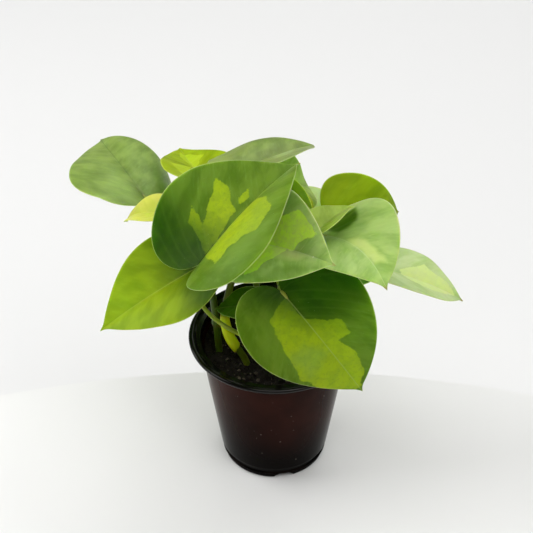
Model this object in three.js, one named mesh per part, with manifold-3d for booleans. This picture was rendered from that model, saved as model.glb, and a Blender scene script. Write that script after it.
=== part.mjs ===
// Potted pothos with variegated heart-shaped leaves, in a round nursery pot.
// Millimetres, +Z up. The origin is the centre of the pot's underside, and -Y is the front.
import * as THREE from 'three';
import { mergeVertices } from 'three/addons/utils/BufferGeometryUtils.js';
import Module from 'manifold-3d';

const wasm = await Module();
wasm.setup();

// Driving dimensions of the pot
const POT_HEIGHT = 93;
const LIP_RADIUS = 52.5;
const LIP_DROP = 3;
const LIP_BEVEL = 3.7;
const LIP_DIP = 0.9;
const WALL = 1.4;
const WALL_TOP_RADIUS = 46;
const WALL_FOOT_RADIUS = 33.3;
const FOOT_RADIUS = 31.5;
const FOOT_HEIGHT = 8;
const FOOT_STEP = 1;
const FOOT_FLARE = 0.1;
const FOOT_ROUND = 2;
const UPPER_RING_DROP = 9;
const LOWER_RING_HEIGHT = 4.5;
const RING_PROUD = 0.5;
const RING_HALF = 0.7;
const PLATE = 1.8;
const PLATE_RADIUS = 21;
const CHANNEL_RISE = 2;
const CHANNEL_OUTER = 26.5;
const CHANNEL_SLOPE = 0.8;
const CHANNEL_WALL = 1.2;
const ARCH_COUNT = 4;
const ARCH_WIDTH = 12.6;
const ARCH_HEIGHT = 4;
const ARCH_ANGLE = -79;
const SLOT_WIDTH = 3;
const SLOT_HEIGHT = 1.4;
const SLOT_ANGLE = -129;

// Driving dimensions of the soil and the plant
const GAP = 0.3;
const SOIL_TOP = 84;
const SOIL_LUMP = 0.8;
const SOIL_LUMP_SPAN = 35;
const SOIL_GRAIN = 0.6;
const SOIL_GRAIN_SPAN = 9;
const SOIL_MARGIN = 1;
const CRUMB_COUNT = 24;
const CRUMB_LEAST = 1;
const CRUMB_SPREAD = 1;
const CRUMB_MARGIN = 3;
const STEM_RADIUS = 2.1;
const STEM_FOOT = 46;
const NODE_SWELL = 0.6;
const NODE_HALF = 3.2;
const SHEATH = 0.7;
const PETIOLE_RADIUS = 1.3;
const SMALL_PETIOLE_RADIUS = 1;
const PETIOLE_NECK_BACK = 2.5;
const PETIOLE_NECK_DROP = 4;
const PETIOLE_SUNK_STEP = 3;
const BLADE_THICKNESS = 0.7;
const RIPPLE_WAVES = 2;

// Mesh fineness
const POT_SIDES = 40;
const ARCH_SIDES = 12;
const LIP_STEPS = 4;
const FOOT_STEPS = 2;
const SOIL_SIDES = 28;
const SOIL_RINGS = 6;
const TUBE_SIDES = 6;
const STEM_SIDES = 8;
const PETIOLE_STEPS = 7;
const STEM_STEPS = 10;
const SHEATH_STEPS = 5;
const MIDRIB_STEPS = 40;
const WELD = 1e-4;

const DEGREE = Math.PI / 180;
const TURN = 2 * Math.PI;
const AHEAD = new THREE.Vector3(1, 0, 0);
const UP = new THREE.Vector3(0, 0, 1);

// A solid for joining and cutting, from a closed geometry with shared vertices
function solidOf(geometry) {
  const bare = geometry.clone();
  bare.deleteAttribute('normal');
  bare.deleteAttribute('uv');
  const merged = mergeVertices(bare, WELD);
  return new wasm.Manifold(new wasm.Mesh({
    numProp: 3,
    vertProperties: new Float32Array(merged.attributes.position.array),
    triVerts: new Uint32Array(merged.index.array),
  }));
}

// The largest piece of a solid, as a geometry
function geometryOf(solid) {
  const pieces = solid.decompose();
  pieces.sort((a, b) => b.volume() - a.volume());
  const mesh = pieces[0].getMesh();
  const geometry = new THREE.BufferGeometry();
  geometry.setAttribute('position', new THREE.BufferAttribute(mesh.vertProperties, 3));
  geometry.setIndex(new THREE.BufferAttribute(mesh.triVerts, 1));
  geometry.computeVertexNormals();
  return geometry;
}

// A turned body from places given as radius and height
function lathe(points, sides) {
  const profile = points.map(([radius, height]) => new THREE.Vector2(radius, height));
  return new THREE.LatheGeometry(profile, sides).rotateX(Math.PI / 2);
}

// A round bar of one radius along a curve
function tube(curve, radius, sides, steps) {
  const corners = [];
  for (let i = 0; i < sides; i += 1) {
    const angle = TURN * i / sides;
    corners.push(new THREE.Vector2(radius * Math.cos(angle), radius * Math.sin(angle)));
  }
  const section = new THREE.Shape(corners);
  return new THREE.ExtrudeGeometry(section, { steps, extrudePath: curve, curveSegments: 1 });
}

// Pot: a thin moulded shell with a broad rolled lip, two fine raised rings, a tucked-in foot
// and a raised channel round a flat plate
const wallBase = FOOT_HEIGHT + FOOT_STEP;
const wallTop = POT_HEIGHT - LIP_DROP;

function wallRadius(z) {
  const share = (z - wallBase) / (wallTop - wallBase);
  return THREE.MathUtils.lerp(WALL_FOOT_RADIUS, WALL_TOP_RADIUS, share);
}

function footRadius(z) {
  return FOOT_RADIUS + FOOT_FLARE * (z - FOOT_ROUND);
}

function ringBump(radiusAt, height) {
  return [
    [radiusAt(height - RING_HALF), height - RING_HALF],
    [radiusAt(height) + RING_PROUD, height],
    [radiusAt(height + RING_HALF), height + RING_HALF],
  ];
}

// Places round an arc, from its lowest point outward and up through the degrees given
function roundEdge(centreRadius, centreHeight, size, degrees, steps) {
  const places = [];
  for (let i = 0; i <= steps; i += 1) {
    const angle = (degrees * i / steps - 90) * DEGREE;
    places.push([centreRadius + size * Math.cos(angle), centreHeight + size * Math.sin(angle)]);
  }
  return places;
}

// A round-topped cutter that runs out through the foot at an angle
function arch(width, height, degrees) {
  const reach = LIP_RADIUS - CHANNEL_OUTER;
  const cutter = new THREE.CylinderGeometry(1, 1, reach, ARCH_SIDES);
  cutter.rotateZ(Math.PI / 2).scale(1, width / 2, height);
  cutter.translate(CHANNEL_OUTER + CHANNEL_SLOPE / 2 + reach / 2, 0, 0).rotateZ(degrees * DEGREE);
  return solidOf(cutter);
}

function potSolid() {
  const lipRound = LIP_DROP / 2;
  const profile = [
    [0, 0],
    [PLATE_RADIUS, 0],
    [PLATE_RADIUS + CHANNEL_SLOPE, CHANNEL_RISE],
    [CHANNEL_OUTER, CHANNEL_RISE],
    [CHANNEL_OUTER + CHANNEL_SLOPE, 0],
    ...roundEdge(FOOT_RADIUS - FOOT_ROUND, FOOT_ROUND, FOOT_ROUND, 90, FOOT_STEPS),
    ...ringBump(footRadius, LOWER_RING_HEIGHT),
    [footRadius(FOOT_HEIGHT), FOOT_HEIGHT],
    [WALL_FOOT_RADIUS, wallBase],
    ...ringBump(wallRadius, POT_HEIGHT - UPPER_RING_DROP),
    [WALL_TOP_RADIUS, wallTop],
    ...roundEdge(LIP_RADIUS - lipRound, POT_HEIGHT - lipRound, lipRound, 180, LIP_STEPS),
    [LIP_RADIUS - LIP_BEVEL, POT_HEIGHT - LIP_DIP],
    [WALL_TOP_RADIUS - WALL / 2, wallTop + WALL],
    [WALL_TOP_RADIUS - WALL, wallTop],
    [WALL_FOOT_RADIUS - WALL, wallBase],
    [FOOT_RADIUS - WALL, FOOT_HEIGHT - FOOT_STEP],
    [FOOT_RADIUS - WALL, PLATE],
    [CHANNEL_OUTER + CHANNEL_SLOPE + CHANNEL_WALL, PLATE],
    [CHANNEL_OUTER + CHANNEL_WALL, CHANNEL_RISE + PLATE],
    [PLATE_RADIUS + CHANNEL_SLOPE - CHANNEL_WALL, CHANNEL_RISE + PLATE],
    [PLATE_RADIUS - CHANNEL_WALL, PLATE],
    [0, PLATE],
  ];
  let pot = solidOf(lathe(profile, POT_SIDES));
  for (let i = 0; i < ARCH_COUNT; i += 1) {
    const turn = 360 * i / ARCH_COUNT;
    pot = pot.subtract(arch(ARCH_WIDTH, ARCH_HEIGHT, ARCH_ANGLE + turn));
    pot = pot.subtract(arch(SLOT_WIDTH, SLOT_HEIGHT, SLOT_ANGLE + turn));
  }
  return pot;
}

// Vine stems: short rooted cuttings, each with swollen nodes, standing in the soil.
// The points run from the foot in the soil to the top, chosen by hand.
const STEMS = [
  {
    name: 'stem_left',
    path: [[-31, -6, STEM_FOOT], [-34, -6, 88], [-36, -6, 116], [-38, -6, 138]],
    nodes: [0.66, 1],
    colour: 0x4c6410,
  },
  {
    name: 'stem_sheathed',
    path: [[-13, -21, STEM_FOOT], [-17, -19, 86], [-27, -15, 103], [-30, -9, 115], [-24, -3, 144]],
    nodes: [0.75, 1],
    sheath: [0.5, 0.72],
    colour: 0x6f7a12,
  },
  {
    name: 'stem_front',
    path: [[2, -14, STEM_FOOT], [2, -14, 86], [2, -11, 112], [4, -5, 138]],
    nodes: [0.6, 1],
    colour: 0x5a7214,
  },
  {
    name: 'stem_right',
    path: [[21, 5, STEM_FOOT], [21, 5, 86], [24, 8, 108], [27, 10, 128]],
    nodes: [0.62, 1],
    colour: 0x5a7214,
  },
  {
    name: 'stem_back',
    path: [[-8, 19, STEM_FOOT], [-8, 19, 86], [-11, 22, 112], [-13, 26, 142]],
    nodes: [0.6, 1],
    colour: 0x5a7214,
  },
  {
    name: 'stem_back_right',
    path: [[12, 25, STEM_FOOT], [12, 25, 86], [13, 29, 106], [14, 33, 126]],
    nodes: [0.65, 1],
    colour: 0x5a7214,
  },
];

function vector([x, y, z]) {
  return new THREE.Vector3(x, y, z);
}

function stemCurve(stem) {
  return new THREE.CatmullRomCurve3(stem.path.map(vector));
}

// A stem with its radius grown by a margin, for the stem itself, its hole and what meets it
function stemSolid(stem, margin) {
  const curve = stemCurve(stem);
  const radius = STEM_RADIUS + margin;
  const taper = NODE_HALF + margin;
  let solid = solidOf(tube(curve, radius, STEM_SIDES, STEM_STEPS));
  for (const place of stem.nodes) {
    const swelling = lathe([[0, -taper], [radius + NODE_SWELL, 0], [0, taper]], STEM_SIDES);
    const lean = new THREE.Quaternion().setFromUnitVectors(UP, curve.getTangentAt(place));
    const spot = curve.getPointAt(place);
    swelling.applyQuaternion(lean).translate(spot.x, spot.y, spot.z);
    solid = solid.add(solidOf(swelling));
  }
  if (stem.sheath) {
    const [from, to] = stem.sheath;
    const points = [];
    for (let i = 0; i <= SHEATH_STEPS; i += 1) {
      points.push(curve.getPointAt(THREE.MathUtils.lerp(from, to, i / SHEATH_STEPS)));
    }
    const wrap = new THREE.CatmullRomCurve3(points);
    solid = solid.add(solidOf(tube(wrap, radius + SHEATH, STEM_SIDES, SHEATH_STEPS)));
  }
  return solid;
}

// Soil: a plug that fills the pot, lumpy on top, with crumbs and a plain hole for each stem
function soilHeight(x, y) {
  const lump = Math.sin(TURN * x / SOIL_LUMP_SPAN) * Math.cos(TURN * y / SOIL_LUMP_SPAN);
  const grain = Math.sin(TURN * (x + y) / SOIL_GRAIN_SPAN) * Math.cos(TURN * y / SOIL_GRAIN_SPAN);
  return SOIL_TOP + SOIL_LUMP * lump + SOIL_GRAIN * grain;
}

// Crumbs lie in a sunflower pattern, each turned its own way, so none repeats its neighbour
function crumbSolid(i, reach) {
  const share = (i + 0.5) / CRUMB_COUNT;
  const angle = i * (3 - Math.sqrt(5)) * Math.PI;
  const x = reach * Math.sqrt(share) * Math.cos(angle);
  const y = reach * Math.sqrt(share) * Math.sin(angle);
  const size = CRUMB_LEAST + CRUMB_SPREAD * Math.sin(i) ** 2;
  const crumb = new THREE.OctahedronGeometry(size, 0);
  return solidOf(crumb.rotateX(i).rotateY(2 * i).translate(x, y, soilHeight(x, y)));
}

function soilSolid(stems) {
  const bottom = CHANNEL_RISE + PLATE + GAP;
  const slack = WALL + 2 * GAP;
  const rim = wallRadius(SOIL_TOP) - slack;
  const profile = [
    [0, bottom],
    [FOOT_RADIUS - slack, bottom],
    [FOOT_RADIUS - slack, FOOT_HEIGHT - FOOT_STEP],
    [WALL_FOOT_RADIUS - slack, wallBase + FOOT_STEP],
    [rim, SOIL_TOP],
  ];
  for (let i = SOIL_RINGS; i >= 0; i -= 1) {
    profile.push([(rim - SOIL_MARGIN) * i / SOIL_RINGS, SOIL_TOP]);
  }
  const plug = lathe(profile, SOIL_SIDES);
  const place = plug.attributes.position;
  for (let i = 0; i < place.count; i += 1) {
    const x = place.getX(i);
    const y = place.getY(i);
    if (place.getZ(i) > SOIL_TOP - GAP && Math.hypot(x, y) < rim - SOIL_MARGIN / 2) {
      place.setZ(i, soilHeight(x, y));
    }
  }
  let soil = solidOf(plug);
  for (let i = 0; i < CRUMB_COUNT; i += 1) {
    soil = soil.add(crumbSolid(i, rim - CRUMB_MARGIN));
  }
  for (const stem of stems) {
    const [foot, ...above] = stem.path;
    const hole = { path: [[foot[0], foot[1], STEM_FOOT - GAP], ...above], nodes: [] };
    soil = soil.subtract(stemSolid(hole, GAP));
  }
  return soil;
}

// Leaves. Half of a flat blade is a heart's edge from the notch round the lobe to the drawn-out tip,
// in shares of the length along and of the width across.
const HEART_EDGE = [
  [[0, 0], [-0.085, 0.02], [-0.155, 0.1], [-0.155, 0.22]],
  [[-0.155, 0.22], [-0.155, 0.36], [0, 0.5], [0.24, 0.5]],
  [[0.24, 0.5], [0.5, 0.5], [0.78, 0.235], [0.925, 0.052]],
  [[0.925, 0.052], [0.95, 0.022], [0.975, 0.008], [1, 0]],
];

function heartEdge(leaf) {
  const path = new THREE.CurvePath();
  for (const arc of HEART_EDGE) {
    const knots = arc.map(([x, y]) => {
      const along = x < 0 ? x * leaf.lobe : x;
      return new THREE.Vector2(along * leaf.length, y * leaf.width);
    });
    path.add(new THREE.CubicBezierCurve(...knots));
  }
  return path.getSpacedPoints(leaf.rows);
}

// Places and turns along the midrib: X runs to the tip, Y to the leaf's left and Z out of its face
function midribFrames(leaf) {
  const start = new THREE.Euler(leaf.roll * DEGREE, -leaf.pitch * DEGREE, leaf.heading * DEGREE, 'ZYX');
  const turn = new THREE.Quaternion().setFromEuler(start);
  const spot = vector(leaf.base);
  const frames = [{ spot: spot.clone(), turn: turn.clone() }];
  const ahead = new THREE.Vector3();
  for (let i = 0; i < MIDRIB_STEPS; i += 1) {
    const late = ((i + 1) / MIDRIB_STEPS) ** leaf.late - (i / MIDRIB_STEPS) ** leaf.late;
    const twist = leaf.twist * DEGREE / MIDRIB_STEPS;
    const bend = new THREE.Euler(twist, leaf.droop * DEGREE * late, leaf.swing * DEGREE * late, 'ZYX');
    const before = AHEAD.clone().applyQuaternion(turn);
    turn.multiply(new THREE.Quaternion().setFromEuler(bend));
    ahead.copy(AHEAD).applyQuaternion(turn).add(before).normalize();
    spot.addScaledVector(ahead, leaf.length / MIDRIB_STEPS);
    frames.push({ spot: spot.clone(), turn: turn.clone() });
  }
  return frames;
}

// The bent place of a flat point: x along the midrib, y to the left of it
function bent(leaf, frames, x, y, along, out) {
  const step = THREE.MathUtils.clamp(x / leaf.length, 0, 1) * MIDRIB_STEPS;
  const low = Math.min(Math.floor(step), MIDRIB_STEPS - 1);
  const turn = frames[low].turn.clone().slerp(frames[low + 1].turn, step - low);
  const spot = frames[low].spot.clone().lerp(frames[low + 1].spot, step - low);
  const fold = (y >= 0 ? leaf.foldLeft : leaf.foldRight) * DEGREE;
  const curl = (y >= 0 ? leaf.curlLeft : leaf.curlRight) * DEGREE / (leaf.width / 2) || WELD;
  const reach = Math.abs(y);
  const across = (Math.sin(fold + curl * reach) - Math.sin(fold)) / curl;
  const ripple = Math.sin(TURN * RIPPLE_WAVES * along) * Math.sin(Math.PI * along);
  const lift = (Math.cos(fold) - Math.cos(fold + curl * reach)) / curl + leaf.ripple * out * out * ripple;
  return new THREE.Vector3(Math.min(x, 0), y >= 0 ? across : -across, lift).applyQuaternion(turn).add(spot);
}

// One leaf blade as a closed shell round its bent middle surface
function bladeGeometry(leaf) {
  const frames = midribFrames(leaf);
  const edge = heartEdge(leaf);
  const wide = 2 * leaf.columns + 1;
  const middle = [vector(leaf.base)];
  for (let i = 1; i < leaf.rows; i += 1) {
    const along = i / leaf.rows;
    for (let k = -leaf.columns; k <= leaf.columns; k += 1) {
      const out = Math.abs(k) / leaf.columns;
      const side = k <= 0 ? 1 : -leaf.rightWiden;
      const x = THREE.MathUtils.lerp(leaf.length * along * along, edge[i].x, out);
      middle.push(bent(leaf, frames, x, side * edge[i].y * out, along, out));
    }
  }
  middle.push(frames[MIDRIB_STEPS].spot.clone());
  const last = middle.length - 1;
  const at = (row, column) => 1 + (row - 1) * wide + column;
  const faces = [];
  for (let k = 0; k < wide - 1; k += 1) {
    faces.push([0, at(1, k), at(1, k + 1)]);
    faces.push([last, at(leaf.rows - 1, k + 1), at(leaf.rows - 1, k)]);
    for (let i = 1; i < leaf.rows - 1; i += 1) {
      const corners = [at(i, k), at(i + 1, k), at(i + 1, k + 1), at(i, k + 1)];
      const shift = k < leaf.columns ? 0 : 1;
      const [a, b, c, d] = [0, 1, 2, 3].map((j) => corners[(j + shift) % 4]);
      faces.push([a, b, c], [a, c, d]);
    }
  }
  const sheet = new THREE.BufferGeometry().setFromPoints(middle);
  sheet.setIndex(faces.flat());
  sheet.computeVertexNormals();
  const normal = new THREE.Vector3();
  const offset = (share) => middle.map((point, i) => {
    normal.fromBufferAttribute(sheet.attributes.normal, i);
    return point.clone().addScaledVector(normal, share * BLADE_THICKNESS);
  });
  const shell = new THREE.BufferGeometry().setFromPoints([...offset(0.5), ...offset(-0.5)]);
  const under = middle.length;
  const index = [...faces.flat()];
  for (const [a, b, c] of faces) {
    index.push(a + under, c + under, b + under);
  }
  for (const column of [0, wide - 1]) {
    const margin = [0];
    for (let i = 1; i < leaf.rows; i += 1) {
      margin.push(at(i, column));
    }
    margin.push(last);
    for (let i = 0; i < margin.length - 1; i += 1) {
      const [a, b] = column === 0 ? [margin[i + 1], margin[i]] : [margin[i], margin[i + 1]];
      index.push(a, b, b + under, a, b + under, a + under);
    }
  }
  shell.setIndex(index);
  return { shell, frames };
}

// The leaf stalk: from the stem's axis, by way of hand-chosen points, up into the underside of the blade
function petioleCurve(leaf, frames) {
  const under = ({ spot, turn }) => {
    const out = UP.clone().applyQuaternion(turn);
    return spot.clone().addScaledVector(out, -leaf.petioleRadius / 2);
  };
  const foot = stemCurve(STEMS[leaf.stem]).getPointAt(leaf.at);
  const ahead = AHEAD.clone().applyQuaternion(frames[0].turn);
  const base = under(frames[0]);
  const neck = base.clone().addScaledVector(ahead, -PETIOLE_NECK_BACK);
  neck.z -= PETIOLE_NECK_DROP;
  const sunk = under(frames[PETIOLE_SUNK_STEP]);
  return new THREE.CatmullRomCurve3([foot, ...leaf.via.map(vector), neck, base, sunk]);
}

function leafSolid(leaf) {
  const { shell, frames } = bladeGeometry(leaf);
  const petiole = tube(petioleCurve(leaf, frames), leaf.petioleRadius, TUBE_SIDES, PETIOLE_STEPS);
  const grown = stemSolid(STEMS[leaf.stem], GAP);
  return solidOf(shell).add(solidOf(petiole)).subtract(grown);
}

const PLAIN_LEAF = {
  rows: 12,
  columns: 4,
  lobe: 1,
  rightWiden: 1,
  late: 1.4,
  swing: 0,
  twist: 0,
  ripple: 0.8,
  petioleRadius: PETIOLE_RADIUS,
};
const SMALL_LEAF = {
  ...PLAIN_LEAF,
  rows: 10,
  columns: 3,
  ripple: 0.4,
  petioleRadius: SMALL_PETIOLE_RADIUS,
};

// Each leaf is given by its size, the place of its base, where it points, how it bends and its stalk's way.
// Heading is measured from +X round to +Y, pitch is upward, and roll lifts the left half.
const LEAVES = [
  {
    ...PLAIN_LEAF,
    name: 'leaf_far_left',
    base: [-79, 60, 150], length: 89, width: 77, heading: 117, pitch: 4, roll: 11,
    droop: 30, swing: -7, twist: -42, foldLeft: 23, foldRight: 7, curlLeft: -27, curlRight: -85,
    lobe: 0.75, rightWiden: 1.1,
    stem: 4, at: 0.78, via: [[-32, 38, 138], [-60, 52, 149]],
    colour: 0x6f9245,
  },
  {
    ...PLAIN_LEAF,
    name: 'leaf_back_left',
    base: [-42, 55, 167], length: 58, width: 48, heading: 110, pitch: -13, roll: 10,
    droop: 0, swing: -3, twist: -10, foldLeft: 19, foldRight: 16, curlLeft: -6, curlRight: 6,
    rows: 11, columns: 3,
    stem: 4, at: 0.87, via: [[-26, 38, 152]],
    colour: 0x86a40c,
  },
  {
    ...PLAIN_LEAF,
    name: 'leaf_back_top',
    base: [-23, 50, 179], length: 68, width: 56, heading: 37, pitch: -1, roll: 7,
    droop: 28, swing: 11, twist: 6, foldLeft: 7, foldRight: 44, curlLeft: -55, curlRight: -8,
    stem: 4, at: 1, via: [[-17, 38, 162]],
    colour: 0x70903c,
  },
  {
    ...PLAIN_LEAF,
    name: 'leaf_main',
    base: [-42, -17.5, 163], length: 86, width: 93, heading: 37, pitch: 40, roll: -23,
    droop: 33, swing: 25, twist: 5, foldLeft: 29, foldRight: 35, curlLeft: 29, curlRight: -54,
    lobe: 1.15, rightWiden: 1.2,
    stem: 1, at: 0.97, via: [[-26, -4, 153.5], [-36, -12, 155]],
    colour: 0x5f7f1e,
  },
  {
    ...PLAIN_LEAF,
    name: 'leaf_low_left',
    base: [-42, 4, 144], length: 75, width: 67, heading: 195, pitch: -26, roll: 2,
    droop: 6, swing: 6, twist: -19, foldLeft: 19, foldRight: 20, curlLeft: -37, curlRight: 4,
    stem: 2, at: 0.57, via: [[-22, -22, 112], [-42, -13, 124], [-47, -3, 135]],
    colour: 0x7c9c12,
  },
  {
    ...SMALL_LEAF,
    name: 'leaf_small_pale',
    base: [-64, 25, 165], length: 38, width: 31, heading: 154, pitch: -8, roll: -4,
    droop: 57, swing: -6, twist: -11, foldLeft: 22, foldRight: 20, curlLeft: 0, curlRight: -24,
    stem: 4, at: 0.96, via: [[-36, 30, 156]],
    colour: 0xd8dc72,
  },
  {
    ...PLAIN_LEAF,
    name: 'leaf_centre',
    base: [-15, 0, 164], length: 77, width: 70, heading: -46, pitch: 23, roll: 28,
    droop: 6, swing: -8, twist: 11, foldLeft: 26, foldRight: 16, curlLeft: -6, curlRight: 9,
    stem: 2, at: 0.97, via: [[-6, 2, 152]],
    colour: 0x7f9f40,
  },
  {
    ...PLAIN_LEAF,
    name: 'leaf_right',
    base: [28, 1.3, 167.7], length: 74, width: 70, heading: -51, pitch: 27, roll: -11,
    droop: 49, swing: -18, twist: 11, foldLeft: 20, foldRight: -1, curlLeft: 20, curlRight: -5,
    lobe: 0.9,
    stem: 3, at: 0.97, via: [[28, 8, 150]],
    colour: 0x9db877,
  },
  {
    ...PLAIN_LEAF,
    name: 'leaf_back_right',
    base: [32, 42, 151], length: 64, width: 53, heading: 22, pitch: -15, roll: 34,
    droop: 35, swing: 15, twist: 10, foldLeft: 31, foldRight: 8, curlLeft: -15, curlRight: -10,
    lobe: 0.55, rows: 11,
    stem: 5, at: 0.82, via: [[24, 38, 138]],
    colour: 0x7f9f14,
  },
  {
    ...PLAIN_LEAF,
    name: 'leaf_far_right',
    base: [60, 16, 132], length: 61, width: 51, heading: -9, pitch: -11, roll: 0,
    droop: 31, swing: 9, twist: 12, foldLeft: 15, foldRight: 22, curlLeft: -33, curlRight: 8,
    rows: 11, columns: 3,
    stem: 3, at: 0.8, via: [[42, 13, 124]],
    colour: 0xb0c484,
  },
  {
    ...PLAIN_LEAF,
    name: 'leaf_front',
    base: [4, -28, 149], length: 85, width: 81, heading: -33, pitch: -40, roll: 38,
    droop: 42, swing: -2, twist: 5, foldLeft: 12, foldRight: -3, curlLeft: 7, curlRight: -15,
    rightWiden: 0.95,
    stem: 2, at: 0.9, via: [[3, -16, 142]],
    colour: 0x61842a,
  },
  {
    ...SMALL_LEAF,
    name: 'leaf_small_front',
    base: [-10, -19.5, 133], length: 28, width: 25, heading: 177, pitch: -11, roll: -12,
    droop: 24, swing: -17, twist: 2, foldLeft: 14, foldRight: 11, curlLeft: -6, curlRight: -5,
    stem: 2, at: 0.7, via: [[-6, -15, 125]],
    colour: 0x2f4f08,
  },
  {
    ...SMALL_LEAF,
    name: 'leaf_young_folded',
    base: [24, -15, 183], length: 38, width: 31, heading: 54, pitch: 3, roll: -28,
    droop: 21, swing: 5, twist: -4, foldLeft: 33, foldRight: 10, curlLeft: -6, curlRight: 4,
    stem: 2, at: 0.9, via: [[8, 3, 152], [18, 4, 170]],
    colour: 0xacc468,
  },
  {
    ...PLAIN_LEAF,
    name: 'leaf_behind_main',
    base: [-8, 58, 158], length: 57, width: 50, heading: 41, pitch: -19, roll: 10,
    droop: 28, swing: 20, twist: 8, foldLeft: 41, foldRight: 8, curlLeft: 25, curlRight: -10,
    rows: 11, columns: 3,
    stem: 5, at: 1, via: [[6, 44, 142]],
    colour: 0x7d9830,
  },
  {
    ...SMALL_LEAF,
    name: 'leaf_young_rolled',
    base: [3, 42, 176], length: 33, width: 27, heading: -40, pitch: -3, roll: -52,
    droop: 28, swing: -4, twist: -17, foldLeft: 32, foldRight: 23, curlLeft: -14, curlRight: -10,
    stem: 4, at: 0.9, via: [[-6, 38, 160]],
    colour: 0x6d8f2a,
  },
  {
    ...SMALL_LEAF,
    name: 'leaf_pale_back',
    base: [12, 79, 123.5], length: 46, width: 36, heading: 22, pitch: -4, roll: 22,
    droop: 40, foldLeft: 15, foldRight: 8, curlLeft: -12, curlRight: -10,
    stem: 5, at: 0.92, via: [[12, 58, 116]],
    colour: 0xa8bf7c,
  },
  {
    ...PLAIN_LEAF,
    name: 'leaf_rear_centre',
    base: [-12, 34, 112], length: 66, width: 56, heading: 96, pitch: 5, roll: 0,
    droop: 40, twist: 5, foldLeft: 15, foldRight: 15, curlLeft: -20, curlRight: -20,
    rows: 11, columns: 3,
    stem: 4, at: 0.5, via: [],
    colour: 0x6a8c2c,
  },
  {
    ...PLAIN_LEAF,
    name: 'leaf_rear_left',
    base: [-42, 24, 123], length: 58, width: 48, heading: 158, pitch: 0, roll: 0,
    droop: 40, swing: 5, twist: -5, foldLeft: 14, foldRight: 14, curlLeft: -15, curlRight: -20,
    rows: 11, columns: 3,
    stem: 0, at: 0.68, via: [[-37, 10, 116]],
    colour: 0x74962e,
  },
  {
    ...PLAIN_LEAF,
    name: 'leaf_rear_right',
    base: [30, 30, 114], length: 58, width: 48, heading: 38, pitch: 0, roll: 0,
    droop: 45, swing: -5, twist: 5, foldLeft: 14, foldRight: 14, curlLeft: -20, curlRight: -15,
    rows: 11, columns: 3,
    stem: 5, at: 0.6, via: [],
    colour: 0x6f9230,
  },
];

function named(name, solid, colour, roughness) {
  const material = new THREE.MeshStandardMaterial({ color: colour, roughness, metalness: 0 });
  const mesh = new THREE.Mesh(geometryOf(solid), material);
  mesh.name = name;
  return mesh;
}

const plant = new THREE.Group();
plant.add(named('pot', potSolid(), 0x35201c, 0.3));
plant.add(named('potting_soil', soilSolid(STEMS), 0x17120e, 1));
for (const stem of STEMS) {
  plant.add(named(stem.name, stemSolid(stem, 0), stem.colour, 0.5));
}
for (const leaf of LEAVES) {
  plant.add(named(leaf.name, leafSolid(leaf), leaf.colour, 0.45));
}

export default plant;
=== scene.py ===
"""Potted pothos: detailed leaves, vine stems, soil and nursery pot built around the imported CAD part."""

import itertools
import math

import bpy
import numpy as np
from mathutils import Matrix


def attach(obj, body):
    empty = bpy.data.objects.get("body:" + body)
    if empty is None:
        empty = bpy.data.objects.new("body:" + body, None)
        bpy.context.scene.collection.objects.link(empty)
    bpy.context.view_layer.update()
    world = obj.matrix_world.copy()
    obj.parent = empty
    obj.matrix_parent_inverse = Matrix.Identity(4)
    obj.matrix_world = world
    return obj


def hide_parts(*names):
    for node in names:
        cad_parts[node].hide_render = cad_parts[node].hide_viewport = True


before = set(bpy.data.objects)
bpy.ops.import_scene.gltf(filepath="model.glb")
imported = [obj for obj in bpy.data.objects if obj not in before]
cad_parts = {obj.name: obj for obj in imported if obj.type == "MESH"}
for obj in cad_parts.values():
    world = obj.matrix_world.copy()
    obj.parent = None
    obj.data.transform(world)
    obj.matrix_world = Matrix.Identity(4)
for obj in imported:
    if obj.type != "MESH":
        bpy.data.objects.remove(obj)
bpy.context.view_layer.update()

bl_info = {
    "name": "Potted Pothos",
    "version": (1, 0, 0),
    "blender": (4, 5, 0),
    "location": "View3D > Sidebar > Pothos",
    "description": "Builds a potted pothos with variegated leaves",
    "category": "Add Mesh",
}

MM = 0.001
BODY = "root"
SEED = 7

# Pot, in millimetres
POT_HEIGHT = 93.0
LIP_RADIUS = 52.5
LIP_DROP = 3.0
LIP_BEVEL = 3.7
LIP_DIP = 0.9
WALL = 1.4
WALL_TOP_RADIUS = 46.0
WALL_FOOT_RADIUS = 33.3
FOOT_RADIUS = 31.5
FOOT_HEIGHT = 8.0
FOOT_STEP = 1.0
FOOT_FLARE = 0.1
FOOT_ROUND = 2.0
UPPER_RING_DROP = 9.0
LOWER_RING_HEIGHT = 4.5
RING_PROUD = 0.7
RING_HALF = 0.7
PLATE = 1.8
PLATE_RADIUS = 21.0
CHANNEL_RISE = 2.0
CHANNEL_OUTER = 26.5
CHANNEL_SLOPE = 0.8
CHANNEL_WALL = 1.2
ARCH_COUNT = 4
ARCH_WIDTH = 12.6
ARCH_HEIGHT = 4.0
ARCH_ANGLE = -79.0
SLOT_WIDTH = 3.0
SLOT_HEIGHT = 1.4
SLOT_ANGLE = -129.0
POT_SIDES = 144
ARCH_SIDES = 32
# Painted glow on the pot wall, heights in millimetres: it starts rising at the first, is full at the second
# and is gone at the third, just under the lip
GLOW_START = 14.0
GLOW_FULL = 60.0
GLOW_END = 90.0

# Soil, in millimetres
GAP = 0.3
SOIL_TOP = 84.0
SOIL_LUMP = 0.8
SOIL_LUMP_SPAN = 35.0
SOIL_GRAIN = 0.6
SOIL_GRAIN_SPAN = 9.0
SOIL_RINGS = 80
SOIL_SIDES = 220
CRUMB_TOTAL = 900
PALE_SHARE = 0.05
BROWN_SHARE = 0.3
PALE_LEVELS = (0.4, 0.9)
BROWN_LEVELS = (0.05, 0.22)
CRUMB_SMALLEST = 0.35
CRUMB_SPREAD = 1.5
CRUMB_PROUD = 0.3
SOIL_EDGE_DIP = 0.8
SOIL_RELIEF = 1.7
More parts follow.
